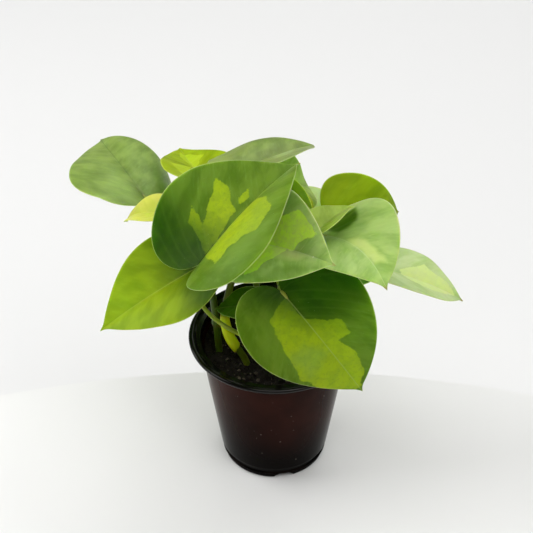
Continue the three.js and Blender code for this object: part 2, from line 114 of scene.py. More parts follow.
# Fine relief of the soil: the width of its lumps in millimetres, and their share of the height
SOIL_RELIEF_LAYERS = ((4.0, 0.8), (1.9, 0.6), (0.9, 0.35))

# Stems and stalks, in millimetres
STEM_RADIUS = 2.1
NODE_SWELL = 0.7
NODE_SPREAD = 2.2
SHEATH = 1.2
STALK_NECK_BACK = 2.5
STALK_NECK_DROP = 4.0
STALK_SUNK_SHARE = 0.075
STEM_SIDES = 28
STEM_STEPS = 110
STALK_SIDES = 16
STALK_STEPS = 54
STALK_GROOVE = 0.22
STALK_START = 1.12
STALK_TAPER = 0.2
KNEE_PLACE = 0.86
KNEE_SWELL = 0.1
KNEE_SPREAD = 0.06
HEEL_SWELL = 0.25
HEEL_SPREAD = 0.09
STALK_END = 0.93
STALK_END_SHARE = 0.45
STEM_CAP = (0.97, 0.85, 0.6, 0.25)
SCAR_LEVEL = 0.8
SCAR_DROP = 1.2
SCAR_HALF = 0.45
SHEATH_SLANT = 1.8
SHEATH_TONE = "d8ec14"

# Blades, in millimetres
BLADE_THICKNESS = 0.66
EDGE_THICKNESS = 0.34
RIPPLE_WAVES = 2
LATE = 1.4
MIDRIB_STEPS = 160
BLADE_ROWS = 84
BLADE_COLUMNS = 30
VEIN_SPACING = 6.4
VEIN_SLOPE = 0.62
VEIN_BEND = 0.75
FRAY = 1.8
WANDER = 1.1
WANDER_SPAN = 5.0
PATCH_EDGE = 0.45
PATCH_MOTTLE = 0.35
PATCH_DRIFT = 0.25
TIP_SHARE = 0.965
WITHERED_TONE = "8a6a34"
COLUMN_CROWDING = 0.9
RUFFLE_SHARE = 0.5
RUFFLE_COUNT = 9
RUFFLE_SIDE_SHIFT = 3.1
SWAY_SHARE = 0.45
SWAY_SPAN = 15
SWAY_SHIFT = 40
QUILT_RISE = 0.16
QUILT_CLEAR = 3
RIB_PROUD = 0.9
RIB_HALF = 1.1
GROOVE_DEPTH = 0.34
GROOVE_HALF = 0.75
EDGE_TAPER = 9
VEIN_BOW = 0.35
LOBE_REACH = 0.35
LOBE_FAN = 0.55
VEIN_TONE_HALF = 1.3
VEIN_STRENGTH = 0.04
NO_PATCH = -30.0
PATTERN_STEP = 13.0
SPLINE_STEPS = 60
ARC_STEPS = 80

# Table, in millimetres
TABLE_RADIUS = 650.0
TABLE_CENTRE = (-4.0, -578.0, 0.0)
TABLE_BEVEL = 3
TABLE_DEPTH = 18
TABLE_PROFILE = [
    (0, -TABLE_DEPTH),
    (TABLE_RADIUS - TABLE_BEVEL, -TABLE_DEPTH),
    (TABLE_RADIUS, TABLE_BEVEL - TABLE_DEPTH),
    (TABLE_RADIUS, -TABLE_BEVEL),
    (TABLE_RADIUS - TABLE_BEVEL, 0),
    (0, 0),
]
TABLE_SIDES = 240
ROOM_BRIGHT_SIDE = (-0.37, 0.65, 0.66)
ROOM_DIM_SHARE = 0.35
BACKDROP_DROP = 150.0
BACKDROP_REACH = 6000.0
# Each soft light: its name, its place and width in metres, and the setting that holds its power
SOFTBOXES = (
    ("left_softbox", (-1.2, 0.2, 0.9), 1.2, "left_power"),
    ("overhead_softbox", (0.0, 0.1, 1.7), 1.0, "overhead_power"),
    ("back_softbox", (0.2, 1.2, 1.2), 1.2, "back_power"),
    ("front_softbox", (0.0, -1.0, 1.4), 1.2, "front_power"),
    ("right_softbox", (0.9, -0.8, 1.3), 1.2, "right_power"),
    ("rear_softbox", (0.8, 1.0, 1.3), 1.2, "rear_power"),
)
SOFTBOX_AIM = (0, 0, 0.1)

# Camera: place in millimetres, degrees below level, and lens and sensor as on a full-frame camera
CAMERA_PLACE = (-4.88, -923.29, 892.91)
CAMERA_TILT = 39.0
CAMERA_LENS = 135.08
CAMERA_SENSOR = 36.0

STEMS = [
    {
        "name": "stem_left",
        "path": [(-31, -6, 46), (-34, -6, 88), (-36, -6, 116), (-38, -6, 138)],
        "nodes": [0.66, 1],
        "slot": "stem_left",
    },
    {
        "name": "stem_sheathed",
        "path": [(-13, -21, 46), (-17, -19, 86), (-27, -15, 103), (-30, -9, 115), (-24, -3, 144)],
        "nodes": [0.75, 1],
        "sheath": (0.5, 0.72),
        "slot": "stem_sheathed",
    },
    {
        "name": "stem_front",
        "path": [(2, -14, 46), (2, -14, 86), (2, -11, 112), (4, -5, 138)],
        "nodes": [0.6, 1],
        "slot": "stem_green",
    },
    {
        "name": "stem_right",
        "path": [(21, 5, 46), (21, 5, 86), (24, 8, 108), (27, 10, 128)],
        "nodes": [0.62, 1],
        "slot": "stem_green",
    },
    {
        "name": "stem_back",
        "path": [(-8, 19, 46), (-8, 19, 86), (-11, 22, 112), (-13, 26, 142)],
        "nodes": [0.6, 1],
        "slot": "stem_green",
    },
    {
        "name": "stem_back_right",
        "path": [(12, 25, 46), (12, 25, 86), (13, 29, 106), (14, 33, 126)],
        "nodes": [0.65, 1],
        "slot": "stem_green",
    },
]
# Half of a flat blade's edge, in shares of the length along and of the width across
HEART_EDGE = [
    [(0, 0), (-0.085, 0.02), (-0.155, 0.1), (-0.155, 0.22)],
    [(-0.155, 0.22), (-0.155, 0.36), (0, 0.5), (0.24, 0.5)],
    [(0.24, 0.5), (0.5, 0.5), (0.78, 0.235), (0.925, 0.052)],
    [(0.925, 0.052), (0.95, 0.022), (0.975, 0.008), (1, 0)],
]
PLAIN_LEAF = {
    "swing": 0, "twist": 0, "lobe": 1, "right_widen": 1, "ripple": 0.8, "stalk": 1.3,
    "gloss": 0.2, "streak": 0.2, "patches": [], "painted_shading": [], "spots": [], "tip": 0,
}
SMALL_LEAF = {**PLAIN_LEAF, "ripple": 0.4, "stalk": 1}

# Leaf tones as sRGB hex: one set for each kind of green that the plant shows
# The dim tone is what a blade's colour is multiplied by where painted shade lies on it.
BLADE_TONES = {"speck": "dfe3b8", "dim": "7c9818", "stalk": "93a23c"}
SHADED_GREEN = {
    **BLADE_TONES, "deep": "526c10", "green": "668022", "light": "7c9c44", "patch": "98ac18",
    "rib": "a8b860", "edge": "b4c088", "under": "84a048",
}
# Partly painted light: the leaves' own yellow-green, made brighter to stand for light shining through them
# from behind.
FRESH_BACKLIT_GREEN = {
    **BLADE_TONES, "deep": "7a8c08", "green": "8c9e14", "light": "98b430", "patch": "a4b824",
    "rib": "a8b848", "edge": "b0c060", "under": "90ac24",
}
# Partly painted sheen: the leaves' own green greyed to stand for the satin sheen on their up-facing faces.
GREY_SHEEN_GREEN = {
    **BLADE_TONES, "deep": "6a7a3a", "green": "82924c", "light": "98ac68", "patch": "a4b46c",
    "rib": "8ca060", "edge": "b0b888", "under": "88a050",
}
# Partly painted light: pale silvery greens, lighter than the leaves' own green, standing for their satin
# sheen and the light falling on them.
SILVER_SHEEN_GREEN = {
    **BLADE_TONES, "deep": "88a054", "green": "a0b46c", "light": "c4d084", "patch": "c0e850",
    "rib": "c0cc94", "edge": "c8d0a4", "under": "90a858",
}
PALE_GREEN = {
    **BLADE_TONES, "deep": "a4b87c", "green": "b8c894", "light": "d0d8ac", "patch": "c8d890",
    "rib": "c8d098", "edge": "b4b880", "under": "b0c080",
}
PALE_YELLOW = {
    **BLADE_TONES, "deep": "b4bc48", "green": "c4c858", "light": "d4d470", "patch": "d4d478",
    "rib": "c8cc68", "edge": "b0b858", "under": "c8d070",
}
YOUNG_GREEN = {
    **BLADE_TONES, "deep": "80982c", "green": "94ac40", "light": "a8bc58", "patch": "b8c468",
    "rib": "a8b868", "edge": "c0cc88", "under": "94ac40",
}
DARK_GREEN = {
    **BLADE_TONES, "deep": "34500c", "green": "44640c", "light": "5c7c24", "patch": "6c8c24",
    "rib": "748c40", "edge": "7c9450", "under": "5c7c28",
}
HIDDEN_GREEN = {
    **BLADE_TONES, "deep": "587c20", "green": "688c2c", "light": "80a048", "patch": "a0b44c",
    "rib": "98b05c", "edge": "a4b874", "under": "7c983c",
}

# Each leaf: sizes and places in millimetres and turns in degrees, the same as in the part's source,
# then its markings and its tones. Corners of markings are shares of the length
# from the base and of the width to the leaf's left. A patch is one closed outline, a shade is
# (lighter or darker, softness in millimetres, outline), and a spot is (along, across, radius in millimetres).
# The shading outlines paint light and shade: a darker one is painted shade where other leaves or the leaf's
# own tilt shade it, a lighter one is painted light and sheen, both partly the leaf's own greens.
LEAVES = [
    {
        **PLAIN_LEAF,
        "name": "leaf_far_left",
        "base": (-79, 60, 150), "length": 89, "width": 77,
        "heading": 117, "pitch": 4, "roll": 11, "droop": 30,
        "fold_left": 23, "fold_right": 7, "curl_left": -27, "curl_right": -85,
        "swing": -7, "twist": -42, "lobe": 0.75, "right_widen": 1.1,
        "stem": 4, "at": 0.78, "via": [(-32, 38, 138), (-60, 52, 149)],
        "painted_shading": [
            (0.4, 6, [(0.5, 0.1), (0, 0.05), (-0.1, 0.2), (0, 0.4)]),
            (-0.5, 4, [(0.5, 0), (0.2, -0.05), (0.05, 0)]),
        ],
        "tones": {**GREY_SHEEN_GREEN, "rib": "4a6a24"},
        "speckle": 0.15, "rough": 0.42,
    },
    {
        **PLAIN_LEAF,
        "name": "leaf_back_left",
        "base": (-42, 55, 167), "length": 58, "width": 48,
        "heading": 110, "pitch": -13, "roll": 10, "droop": 0,
        "fold_left": 19, "fold_right": 16, "curl_left": -6, "curl_right": 6,
        "swing": -3, "twist": -10,
        "stem": 4, "at": 0.87, "via": [(-26, 38, 152)],
        "patches": [
            [(0.35, 0), (0.6, -0.2), (0.85, 0.05), (0.7, 0.1)],
            [(0, 0.3), (0.4, 0.35), (0.4, 0.05), (0.15, 0.15)],
        ],
        "tones": FRESH_BACKLIT_GREEN,
        "speckle": 0.1, "gloss": 0.1, "rough": 0.45,
    },
    {
        **PLAIN_LEAF,
        "name": "leaf_back_top",
        "base": (-23, 50, 179), "length": 68, "width": 56,
        "heading": 37, "pitch": -1, "roll": 7, "droop": 28,
        "fold_left": 7, "fold_right": 44, "curl_left": -55, "curl_right": -8,
        "swing": 11, "twist": 6,
        "stem": 4, "at": 1, "via": [(-17, 38, 162)],
        "painted_shading": [(0.8, 2, [(0.25, -0.3), (0.35, -0.1), (0.7, 0), (0.4, -0.3)])],
        "tones": GREY_SHEEN_GREEN,
        "speckle": 0.2, "rough": 0.42,
    },
    {
        **PLAIN_LEAF,
        "name": "leaf_main",
        "base": (-42, -17.5, 163), "length": 86, "width": 93,
        "heading": 37, "pitch": 40, "roll": -23, "droop": 33,
        "fold_left": 29, "fold_right": 35, "curl_left": 29, "curl_right": -54,
        "swing": 25, "twist": 5, "lobe": 1.15, "right_widen": 1.2,
        "stem": 1, "at": 0.97, "via": [(-26, -4, 153.5), (-36, -12, 155)],
        "patches": [
            [
                (0.05, 0), (0.15, 0.25), (0.25, 0.3), (0.2, 0.15), (0.3, 0.2), (0.5, 0.3), (0.5, 0.2),
                (0.4, 0.05),
            ],
            [(0.45, 0.05), (0.5, 0.1), (0.6, 0.1), (0.55, 0.05)],
            [(0.5, 0), (0.05, -0.05), (0.05, -0.35), (0.2, -0.35), (0.35, -0.45), (0.5, -0.4), (0.55, -0.25)],
        ],
        "painted_shading": [
            (-0.9, 18, [(-0.3, -0.1), (0.1, -0.1), (0.25, 0.05), (0.2, 0.3), (0.25, 0.6), (-0.3, 0.6)]),
            (0.35, 8, [(0, -0.35), (0.1, -0.6), (0.6, -0.4), (0.95, 0), (0.7, -0.05), (0.3, -0.3)]),
        ],
        "tones": SHADED_GREEN,
        "speckle": 0.3, "gloss": 0.1, "rough": 0.4, "tip": 0.9,
    },
    {
        **PLAIN_LEAF,
        "name": "leaf_low_left",
        "base": (-42, 4, 144), "length": 75, "width": 67,
        "heading": 195, "pitch": -26, "roll": 2, "droop": 6,
        "fold_left": 19, "fold_right": 20, "curl_left": -37, "curl_right": 4,
        "swing": 6, "twist": -19,
        "stem": 2, "at": 0.57, "via": [(-22, -22, 112), (-42, -13, 124), (-47, -3, 135)],
        "painted_shading": [
            (-1, 20, [(-0.3, -0.6), (0.2, -0.6), (0.25, 0), (0.2, 0.6), (-0.3, 0.6)]),
            (0.3, 10, [(0.6, -0.4), (0.55, 0.4), (1, 0)]),
        ],
        "tones": FRESH_BACKLIT_GREEN,
        "speckle": 0.1, "gloss": 0.1, "rough": 0.42,
    },
    {
        **SMALL_LEAF,
        "name": "leaf_small_pale",
        "base": (-64, 25, 165), "length": 38, "width": 31,
        "heading": 154, "pitch": -8, "roll": -4, "droop": 57,
        "fold_left": 22, "fold_right": 20, "curl_left": 0, "curl_right": -24,
        "swing": -6, "twist": -11,
        "stem": 4, "at": 0.96, "via": [(-36, 30, 156)],
        "tones": PALE_YELLOW,
        "speckle": 0.2, "gloss": 0.1, "rough": 0.45,
    },
    {
        **PLAIN_LEAF,
        "name": "leaf_centre",
        "base": (-15, 0, 164), "length": 77, "width": 70,
        "heading": -46, "pitch": 23, "roll": 28, "droop": 6,
        "fold_left": 26, "fold_right": 16, "curl_left": -6, "curl_right": 9,
        "swing": -8, "twist": 11,
        "stem": 2, "at": 0.97, "via": [(-6, 2, 152)],
        "patches": [
            [(0.2, 0), (0.3, 0.25), (0.5, 0.35), (0.75, 0.2), (0.6, 0.1), (0.5, 0)],
            [(0.2, 0), (0.45, 0), (0.4, -0.15), (0.35, -0.2), (0.4, -0.3), (0.3, -0.4), (0.25, -0.15)],
        ],
        "painted_shading": [
            (0.6, 3, [(0.3, 0), (0.4, -0.15), (0.65, -0.1), (0.7, 0)]),
            (-0.5, 4, [(0.45, -0.5), (0.5, -0.2), (0.95, 0), (0.75, -0.3)]),
        ],
        "spots": [(0.75, 0, 0.8)],
        "tones": {**SILVER_SHEEN_GREEN, "speck": "ece8c4"},
        "speckle": 0.6, "gloss": 0.15, "rough": 0.4, "tip": 0.5,
    },
    {
        **PLAIN_LEAF,
        "name": "leaf_right",
        "base": (28, 1.3, 167.7), "length": 74, "width": 70,
        "heading": -51, "pitch": 27, "roll": -11, "droop": 49,
        "fold_left": 20, "fold_right": -1, "curl_left": 20, "curl_right": -5,
        "swing": -18, "twist": 11, "lobe": 0.9,
        "stem": 3, "at": 0.97, "via": [(28, 8, 150)],
        "painted_shading": [
            (0.8, 2, [(0.3, 0), (0.4, 0.1), (0.8, 0.1), (0.7, 0)]),
            (-1, 3, [(-0.15, 0.1), (0.05, 0.4), (0.2, 0.25), (0.15, 0.05)]),
        ],
        "tones": SILVER_SHEEN_GREEN,
        "speckle": 0.3, "rough": 0.36, "tip": 0.6,
    },
    {
        **PLAIN_LEAF,
        "name": "leaf_back_right",
        "base": (32, 42, 151), "length": 64, "width": 53,
        "heading": 22, "pitch": -15, "roll": 34, "droop": 35,
        "fold_left": 31, "fold_right": 8, "curl_left": -15, "curl_right": -10,
        "swing": 15, "twist": 10, "lobe": 0.55,
        "stem": 5, "at": 0.82, "via": [(24, 38, 138)],
        "painted_shading": [(0.6, 5, [(0.3, 0.1), (0.6, 0.1), (0.6, -0.1), (0.3, -0.1)])],
        "tones": FRESH_BACKLIT_GREEN,
        "speckle": 0.2, "gloss": 0.1, "rough": 0.42, "tip": 0.9,
    },
    {
        **PLAIN_LEAF,
        "name": "leaf_far_right",
        "base": (60, 16, 132), "length": 61, "width": 51,
        "heading": -9, "pitch": -11, "roll": 0, "droop": 31,
        "fold_left": 15, "fold_right": 22, "curl_left": -33, "curl_right": 8,
        "swing": 9, "twist": 12,
        "stem": 3, "at": 0.8, "via": [(42, 13, 124)],
        "patches": [[(0.25, 0.05), (0.5, 0.25), (0.8, 0.1), (0.9, 0), (0.6, -0.15), (0.35, -0.1)]],
        "tones": PALE_GREEN,
        "speckle": 0.3, "rough": 0.42, "tip": 0.9,
    },
    {
        **PLAIN_LEAF,
        "name": "leaf_front",
        "base": (4, -28, 149), "length": 85, "width": 81,
        "heading": -33, "pitch": -40, "roll": 38, "droop": 42,
        "fold_left": 12, "fold_right": -3, "curl_left": 7, "curl_right": -15,
        "swing": -2, "twist": 5, "right_widen": 0.95,
        "stem": 2, "at": 0.9, "via": [(3, -16, 142)],
        "patches": [
            [
                (0.95, 0), (0.85, 0.1), (0.65, 0.15), (0.5, 0.1), (0.5, 0.2), (0.4, 0.2), (0.25, 0),
                (0.05, 0), (0.1, -0.2), (0.3, -0.25), (0.6, -0.3), (0.8, -0.2),
            ],
        ],
        "painted_shading": [
            (-1, 20, [(-0.3, -0.25), (0.1, -0.1), (0.3, 0), (0.4, 0.25), (0.35, 0.6), (-0.3, 0.6)]),
            (0.5, 6, [(0.35, -0.1), (0.4, -0.3), (0.65, -0.25), (0.55, 0)]),
        ],
        "tones": SHADED_GREEN,
        "speckle": 0.3, "gloss": 0.1, "rough": 0.4,
    },
    {
        **SMALL_LEAF,
        "name": "leaf_small_front",
        "base": (-10, -19.5, 133), "length": 28, "width": 25,
        "heading": 177, "pitch": -11, "roll": -12, "droop": 24,
        "fold_left": 14, "fold_right": 11, "curl_left": -6, "curl_right": -5,
        "swing": -17, "twist": 2,
        "stem": 2, "at": 0.7, "via": [(-6, -15, 125)],
        "tones": DARK_GREEN,
        "speckle": 0.1, "gloss": 0.08, "rough": 0.42,
    },
    {
        **SMALL_LEAF,
        "name": "leaf_young_folded",
        "base": (24, -15, 183), "length": 38, "width": 31,
        "heading": 54, "pitch": 3, "roll": -28, "droop": 21,
        "fold_left": 33, "fold_right": 10, "curl_left": -6, "curl_right": 4,
        "swing": 5, "twist": -4,
        "stem": 2, "at": 0.9, "via": [(8, 3, 152), (18, 4, 170)],
        "tones": YOUNG_GREEN,
        "speckle": 0.1, "gloss": 0.12, "rough": 0.4,
    },
    {
        **PLAIN_LEAF,
        "name": "leaf_behind_main",
        "base": (-8, 58, 158), "length": 57, "width": 50,
        "heading": 41, "pitch": -19, "roll": 10, "droop": 28,
        "fold_left": 41, "fold_right": 8, "curl_left": 25, "curl_right": -10,
        "swing": 20, "twist": 8,
        "stem": 5, "at": 1, "via": [(6, 44, 142)],
        "tones": YOUNG_GREEN,
        "speckle": 0.2, "rough": 0.42,
    },
    {
        **SMALL_LEAF,
        "name": "leaf_young_rolled",
        "base": (3, 42, 176), "length": 33, "width": 27,
        "heading": -40, "pitch": -3, "roll": -52, "droop": 28,
        "fold_left": 32, "fold_right": 23, "curl_left": -14, "curl_right": -10,
        "swing": -4, "twist": -17,
        "stem": 4, "at": 0.9, "via": [(-6, 38, 160)],
        "tones": FRESH_BACKLIT_GREEN,
        "speckle": 0.1, "gloss": 0.1, "rough": 0.42,
    },
    {
        **SMALL_LEAF,
        "name": "leaf_pale_back",
        "base": (12, 79, 123.5), "length": 46, "width": 36,
        "heading": 22, "pitch": -4, "roll": 22, "droop": 40,
        "fold_left": 15, "fold_right": 8, "curl_left": -12, "curl_right": -10,
        "stem": 5, "at": 0.92, "via": [(12, 58, 116)],
        "tones": PALE_GREEN,
        "speckle": 0.2, "rough": 0.42,
    },
    {
        **PLAIN_LEAF,
        "name": "leaf_rear_centre",
        "base": (-12, 34, 112), "length": 66, "width": 56,
        "heading": 96, "pitch": 5, "roll": 0, "droop": 40,
        "fold_left": 15, "fold_right": 15, "curl_left": -20, "curl_right": -20,
        "twist": 5,
        "stem": 4, "at": 0.5, "via": [],
        "patches": [[(0.15, 0.1), (0.35, 0.3), (0.6, 0.2), (0.3, 0)]],
        "tones": HIDDEN_GREEN,
        "speckle": 0.2, "rough": 0.42,
    },
    {
        **PLAIN_LEAF,
        "name": "leaf_rear_left",
        "base": (-42, 24, 123), "length": 58, "width": 48,
        "heading": 158, "pitch": 0, "roll": 0, "droop": 40,
        "fold_left": 14, "fold_right": 14, "curl_left": -15, "curl_right": -20,
        "swing": 5, "twist": -5,
        "stem": 0, "at": 0.68, "via": [(-37, 10, 116)],
        "patches": [[(0.2, -0.1), (0.4, -0.3), (0.65, -0.2), (0.4, 0)]],
        "tones": HIDDEN_GREEN,
        "speckle": 0.2, "rough": 0.42,
    },
    {
        **PLAIN_LEAF,
        "name": "leaf_rear_right",
        "base": (30, 30, 114), "length": 58, "width": 48,
        "heading": 38, "pitch": 0, "roll": 0, "droop": 45,
        "fold_left": 14, "fold_right": 14, "curl_left": -20, "curl_right": -15,
        "swing": -5, "twist": 5,
        "stem": 5, "at": 0.6, "via": [],
        "patches": [[(0.1, 0.1), (0.3, 0.3), (0.5, 0.2), (0.3, 0)]],
        "tones": HIDDEN_GREEN,
        "speckle": 0.2, "rough": 0.42,
    },
]


def linear(colour):
    """An sRGB hex colour such as "7c9c12" as linear red, green, blue and alpha."""
    channels = []
    for start in (0, 2, 4):
        value = int(colour[start:start + 2], 16) / 255
        channels.append(value / 12.92 if value <= 0.04045 else ((value + 0.055) / 1.055) ** 2.4)
    return (*channels, 1.0)


def add_node(tree, kind, settings=None, links=None):
    """Adds one shader node, sets its properties and input values, and links its inputs."""
    made = tree.nodes.new(kind)
    for key, value in (settings or {}).items():
        if isinstance(key, int) or key in made.inputs:
            made.inputs[key].default_value = value
        else:
            setattr(made, key, value)
    for key, source in (links or {}).items():
        tree.links.new(source, made.inputs[key])
    return made


def value_noise(x, y, seed):
    """Smooth repeatable noise between -1 and 1 with a cell of one unit."""
    cell_x = np.floor(x).astype(np.int64)
    cell_y = np.floor(y).astype(np.int64)
    part_x = x - cell_x
    part_y = y - cell_y
    ease_x = part_x * part_x * (3 - 2 * part_x)
    ease_y = part_y * part_y * (3 - 2 * part_y)

    def corner(step_x, step_y):
        mixed = (cell_x + step_x) * 374761393 + (cell_y + step_y) * 668265263 + seed * 144269504
        mixed = mixed & 0xFFFFFFFF
        mixed = ((mixed ^ (mixed >> 13)) * 1274126177) & 0xFFFFFFFF
        return ((mixed ^ (mixed >> 16)) & 0xFFFF) / 32767.5 - 1

    low = corner(0, 0) * (1 - ease_x) + corner(1, 0) * ease_x
    high = corner(0, 1) * (1 - ease_x) + corner(1, 1) * ease_x
    return low * (1 - ease_y) + high * ease_y


def make_piece(name, points, faces, material, attributes=None, smooth=True):
    """A mesh object from points in millimetres, faces and per-point attributes."""
    mesh = bpy.data.meshes.new(name)
    mesh.from_pydata((np.asarray(points) * MM).tolist(), [], faces)
    for key, values in (attributes or {}).items():
        values = np.asarray(values, np.float32)
        kind = "FLOAT_VECTOR" if values.ndim == 2 else "FLOAT"
        layer = mesh.attributes.new(key, kind, "POINT")
        layer.data.foreach_set("vector" if values.ndim == 2 else "value", values.ravel())
    if smooth:
        mesh.polygons.foreach_set("use_smooth", [True] * len(mesh.polygons))
    mesh.materials.append(material)
    mesh.validate()
    mesh.update()
    piece = bpy.data.objects.new(name, mesh)
    bpy.context.scene.collection.objects.link(piece)
    return piece


def seat_piece(piece, node):
    """The piece stands for its CAD node and rides on the plant's one body."""
    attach(piece, BODY)
    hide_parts(node)


# Curves and tubes

def curve_through(points, count):
    """Evenly spaced places on a centripetal spline through the points."""
    points = [np.asarray(point, float) for point in points]
    ends = [2 * points[0] - points[1], *points, 2 * points[-1] - points[-2]]
    dense = []
    for i in range(len(points) - 1):
        before, start, stop, after = ends[i:i + 4]
        gap_before = max(np.linalg.norm(start - before), 1e-4) ** 0.5
        gap = max(np.linalg.norm(stop - start), 1e-4) ** 0.5
        gap_after = max(np.linalg.norm(after - stop), 1e-4) ** 0.5
        lean_in = gap * (
            (start - before) / gap_before - (stop - before) / (gap_before + gap) + (stop - start) / gap)
        lean_out = gap * (
            (stop - start) / gap - (after - start) / (gap + gap_after) + (after - stop) / gap_after)
        share = np.linspace(0, 1, SPLINE_STEPS, endpoint=False)[:, None]
        dense.append(
            start + lean_in * share + (3 * (stop - start) - 2 * lean_in - lean_out) * share ** 2
            + (2 * (start - stop) + lean_in + lean_out) * share ** 3
        )
    dense = np.vstack([*dense, points[-1][None]])
    reach = np.concatenate([[0], np.cumsum(np.linalg.norm(np.diff(dense, axis=0), axis=1))])
    even = np.linspace(0, reach[-1], count)
    return np.stack([np.interp(even, reach, dense[:, axis]) for axis in range(3)], 1)


def carried_frames(places):
    """Two side directions at each place of a path, carried along it without twisting."""
    ahead = np.gradient(places, axis=0)
    ahead /= np.linalg.norm(ahead, axis=1)[:, None]
    side = np.cross(ahead[0], (0.0, 1.0, 0.2))
    sides = []
    for direction in ahead:
        side = side - direction * (side @ direction)
        side = side / np.linalg.norm(side)
        sides.append(side)
    sides = np.array(sides)
    return sides, np.cross(ahead, sides)


def tube_mesh(places, radii, count, groove=0.0):
    """Points, faces and (share along, angle) of a closed tube; groove dents one side of it."""
    sides, ups = carried_frames(places)
    angles = np.linspace(0, 2 * math.pi, count, endpoint=False)
    dent = 1 - groove * np.exp(-((angles - math.pi / 2) / 0.5) ** 2)
    points = []
    for place, radius, side, up in zip(places, radii, sides, ups):
        spread = (radius * dent)[:, None]
        points.append(place + spread * (np.cos(angles)[:, None] * side + np.sin(angles)[:, None] * up))
    steps = len(places)
    points = np.vstack([*points, places[0], places[-1]])
    faces = []
    for i in range(steps - 1):
        for k in range(count):
            after = (k + 1) % count
            faces.append((i * count + k, i * count + after, (i + 1) * count + after, (i + 1) * count + k))
    first = steps * count
    for k in range(count):
        after = (k + 1) % count
        faces.append((first, after, k))
        faces.append((first + 1, (steps - 1) * count + k, (steps - 1) * count + after))
    along = np.concatenate([np.repeat(np.linspace(0, 1, steps), count), [0, 1]])
    around = np.concatenate([np.tile(angles, steps), [0, 0]])
    return points, faces, along, around


# Leaf blades

def heart_edge(leaf, count):
    """Half of a flat blade's edge from notch to tip, at evenly spaced places."""
    share = np.linspace(0, 1, ARC_STEPS)[:, None]
    dense = []
    for arc in HEART_EDGE:
        knots = []
        for x, y in arc:
            along = x * leaf["lobe"] if x < 0 else x
            knots.append(np.array([along * leaf["length"], y * leaf["width"]]))
        a, b, c, d = knots
        dense.append(
            a * (1 - share) ** 3 + 3 * b * share * (1 - share) ** 2
            + 3 * c * share ** 2 * (1 - share) + d * share ** 3
        )
    dense = np.vstack(dense)
    reach = np.concatenate([[0], np.cumsum(np.linalg.norm(np.diff(dense, axis=0), axis=1))])
    even = np.linspace(0, reach[-1], count)
    return np.stack([np.interp(even, reach, dense[:, axis]) for axis in range(2)], 1)


def turned(axis, degrees):
    """The rotation matrix about one axis."""
    angle = math.radians(degrees)
    c, s = math.cos(angle), math.sin(angle)
    if axis == "X":
        return np.array([[1, 0, 0], [0, c, -s], [0, s, c]])
    if axis == "Y":
        return np.array([[c, 0, s], [0, 1, 0], [-s, 0, c]])
    return np.array([[c, -s, 0], [s, c, 0], [0, 0, 1]])


def midrib_frames(leaf):
    """Places and turns along the midrib: X to the tip, Y to the leaf's left, Z out of its face."""
    turn = turned("Z", leaf["heading"]) @ turned("Y", -leaf["pitch"]) @ turned("X", leaf["roll"])
    spot = np.array(leaf["base"], float)
    spots, turns = [spot], [turn]
    for i in range(MIDRIB_STEPS):
        late = ((i + 1) / MIDRIB_STEPS) ** LATE - (i / MIDRIB_STEPS) ** LATE
        bend = (
            turned("Z", leaf["swing"] * late) @ turned("Y", leaf["droop"] * late)
            @ turned("X", leaf["twist"] / MIDRIB_STEPS)
        )
        before = turn[:, 0]
        turn = turn @ bend
        ahead = turn[:, 0] + before
        spot = spot + ahead / np.linalg.norm(ahead) * leaf["length"] / MIDRIB_STEPS
        spots.append(spot)
        turns.append(turn)
    return np.array(spots), np.array(turns)


def bend_points(leaf, spots, turns, x, y, lift):
    """The bent places of flat points, with an extra lift out of the face."""
    step = np.clip(x / leaf["length"], 0, 1) * MIDRIB_STEPS
    low = np.minimum(np.floor(step).astype(int), MIDRIB_STEPS - 1)
    part = (step - low)[:, None]
    spot = spots[low] * (1 - part) + spots[low + 1] * part
    turn = turns[low] * (1 - part[:, None]) + turns[low + 1] * part[:, None]
    left = y >= 0
    fold = np.radians(np.where(left, leaf["fold_left"], leaf["fold_right"]))
    curl = np.radians(np.where(left, leaf["curl_left"], leaf["curl_right"])) / (leaf["width"] / 2)
    curl = np.where(np.abs(curl) < 1e-4, 1e-4, curl)
    reach = np.abs(y)
    across = (np.sin(fold + curl * reach) - np.sin(fold)) / curl
    rise = (np.cos(fold) - np.cos(fold + curl * reach)) / curl + lift
    local = np.stack([np.minimum(x, 0), np.where(left, across, -across), rise], 1)
    return spot + np.einsum("nij,nj->ni", turn, local)


def vein_place(leaf, x, y):
    """Where along the midrib the side vein through a flat point starts, and how far out the point is."""
    half = leaf["width"] / 2
    reach = np.abs(y)
    start = x - reach * VEIN_SLOPE - VEIN_BEND * reach ** 2 / half * VEIN_BOW
    lobe = np.clip(-start / (LOBE_REACH * leaf["length"]), 0, 1)
    fan = -np.arctan2(np.clip(-start, 0, None), reach + 1e-3) * half * LOBE_FAN
    return np.where(start < 0, fan * (0.3 + 0.7 * lobe), start), reach


def outline_depth(leaf, corners, x, y):
    """How far inside a closed outline each flat point lies, in millimetres, or minus that outside it."""
    corners = np.array(corners) * (leaf["length"], leaf["width"])
    away = np.full(len(x), 1e3)
    inside = np.zeros(len(x), bool)
    for start, stop in zip(corners, np.roll(corners, -1, axis=0)):
        line = stop - start
        to_x, to_y = x - start[0], y - start[1]
        share = np.clip((to_x * line[0] + to_y * line[1]) / (line @ line), 0, 1)
        away = np.minimum(away, np.hypot(to_x - share * line[0], to_y - share * line[1]))
        crossed = (start[1] > y) != (stop[1] > y)
        rise = line[1] if line[1] else 1.0
        inside ^= crossed & (to_x < to_y / rise * line[0])
    return np.where(inside, away, -away)


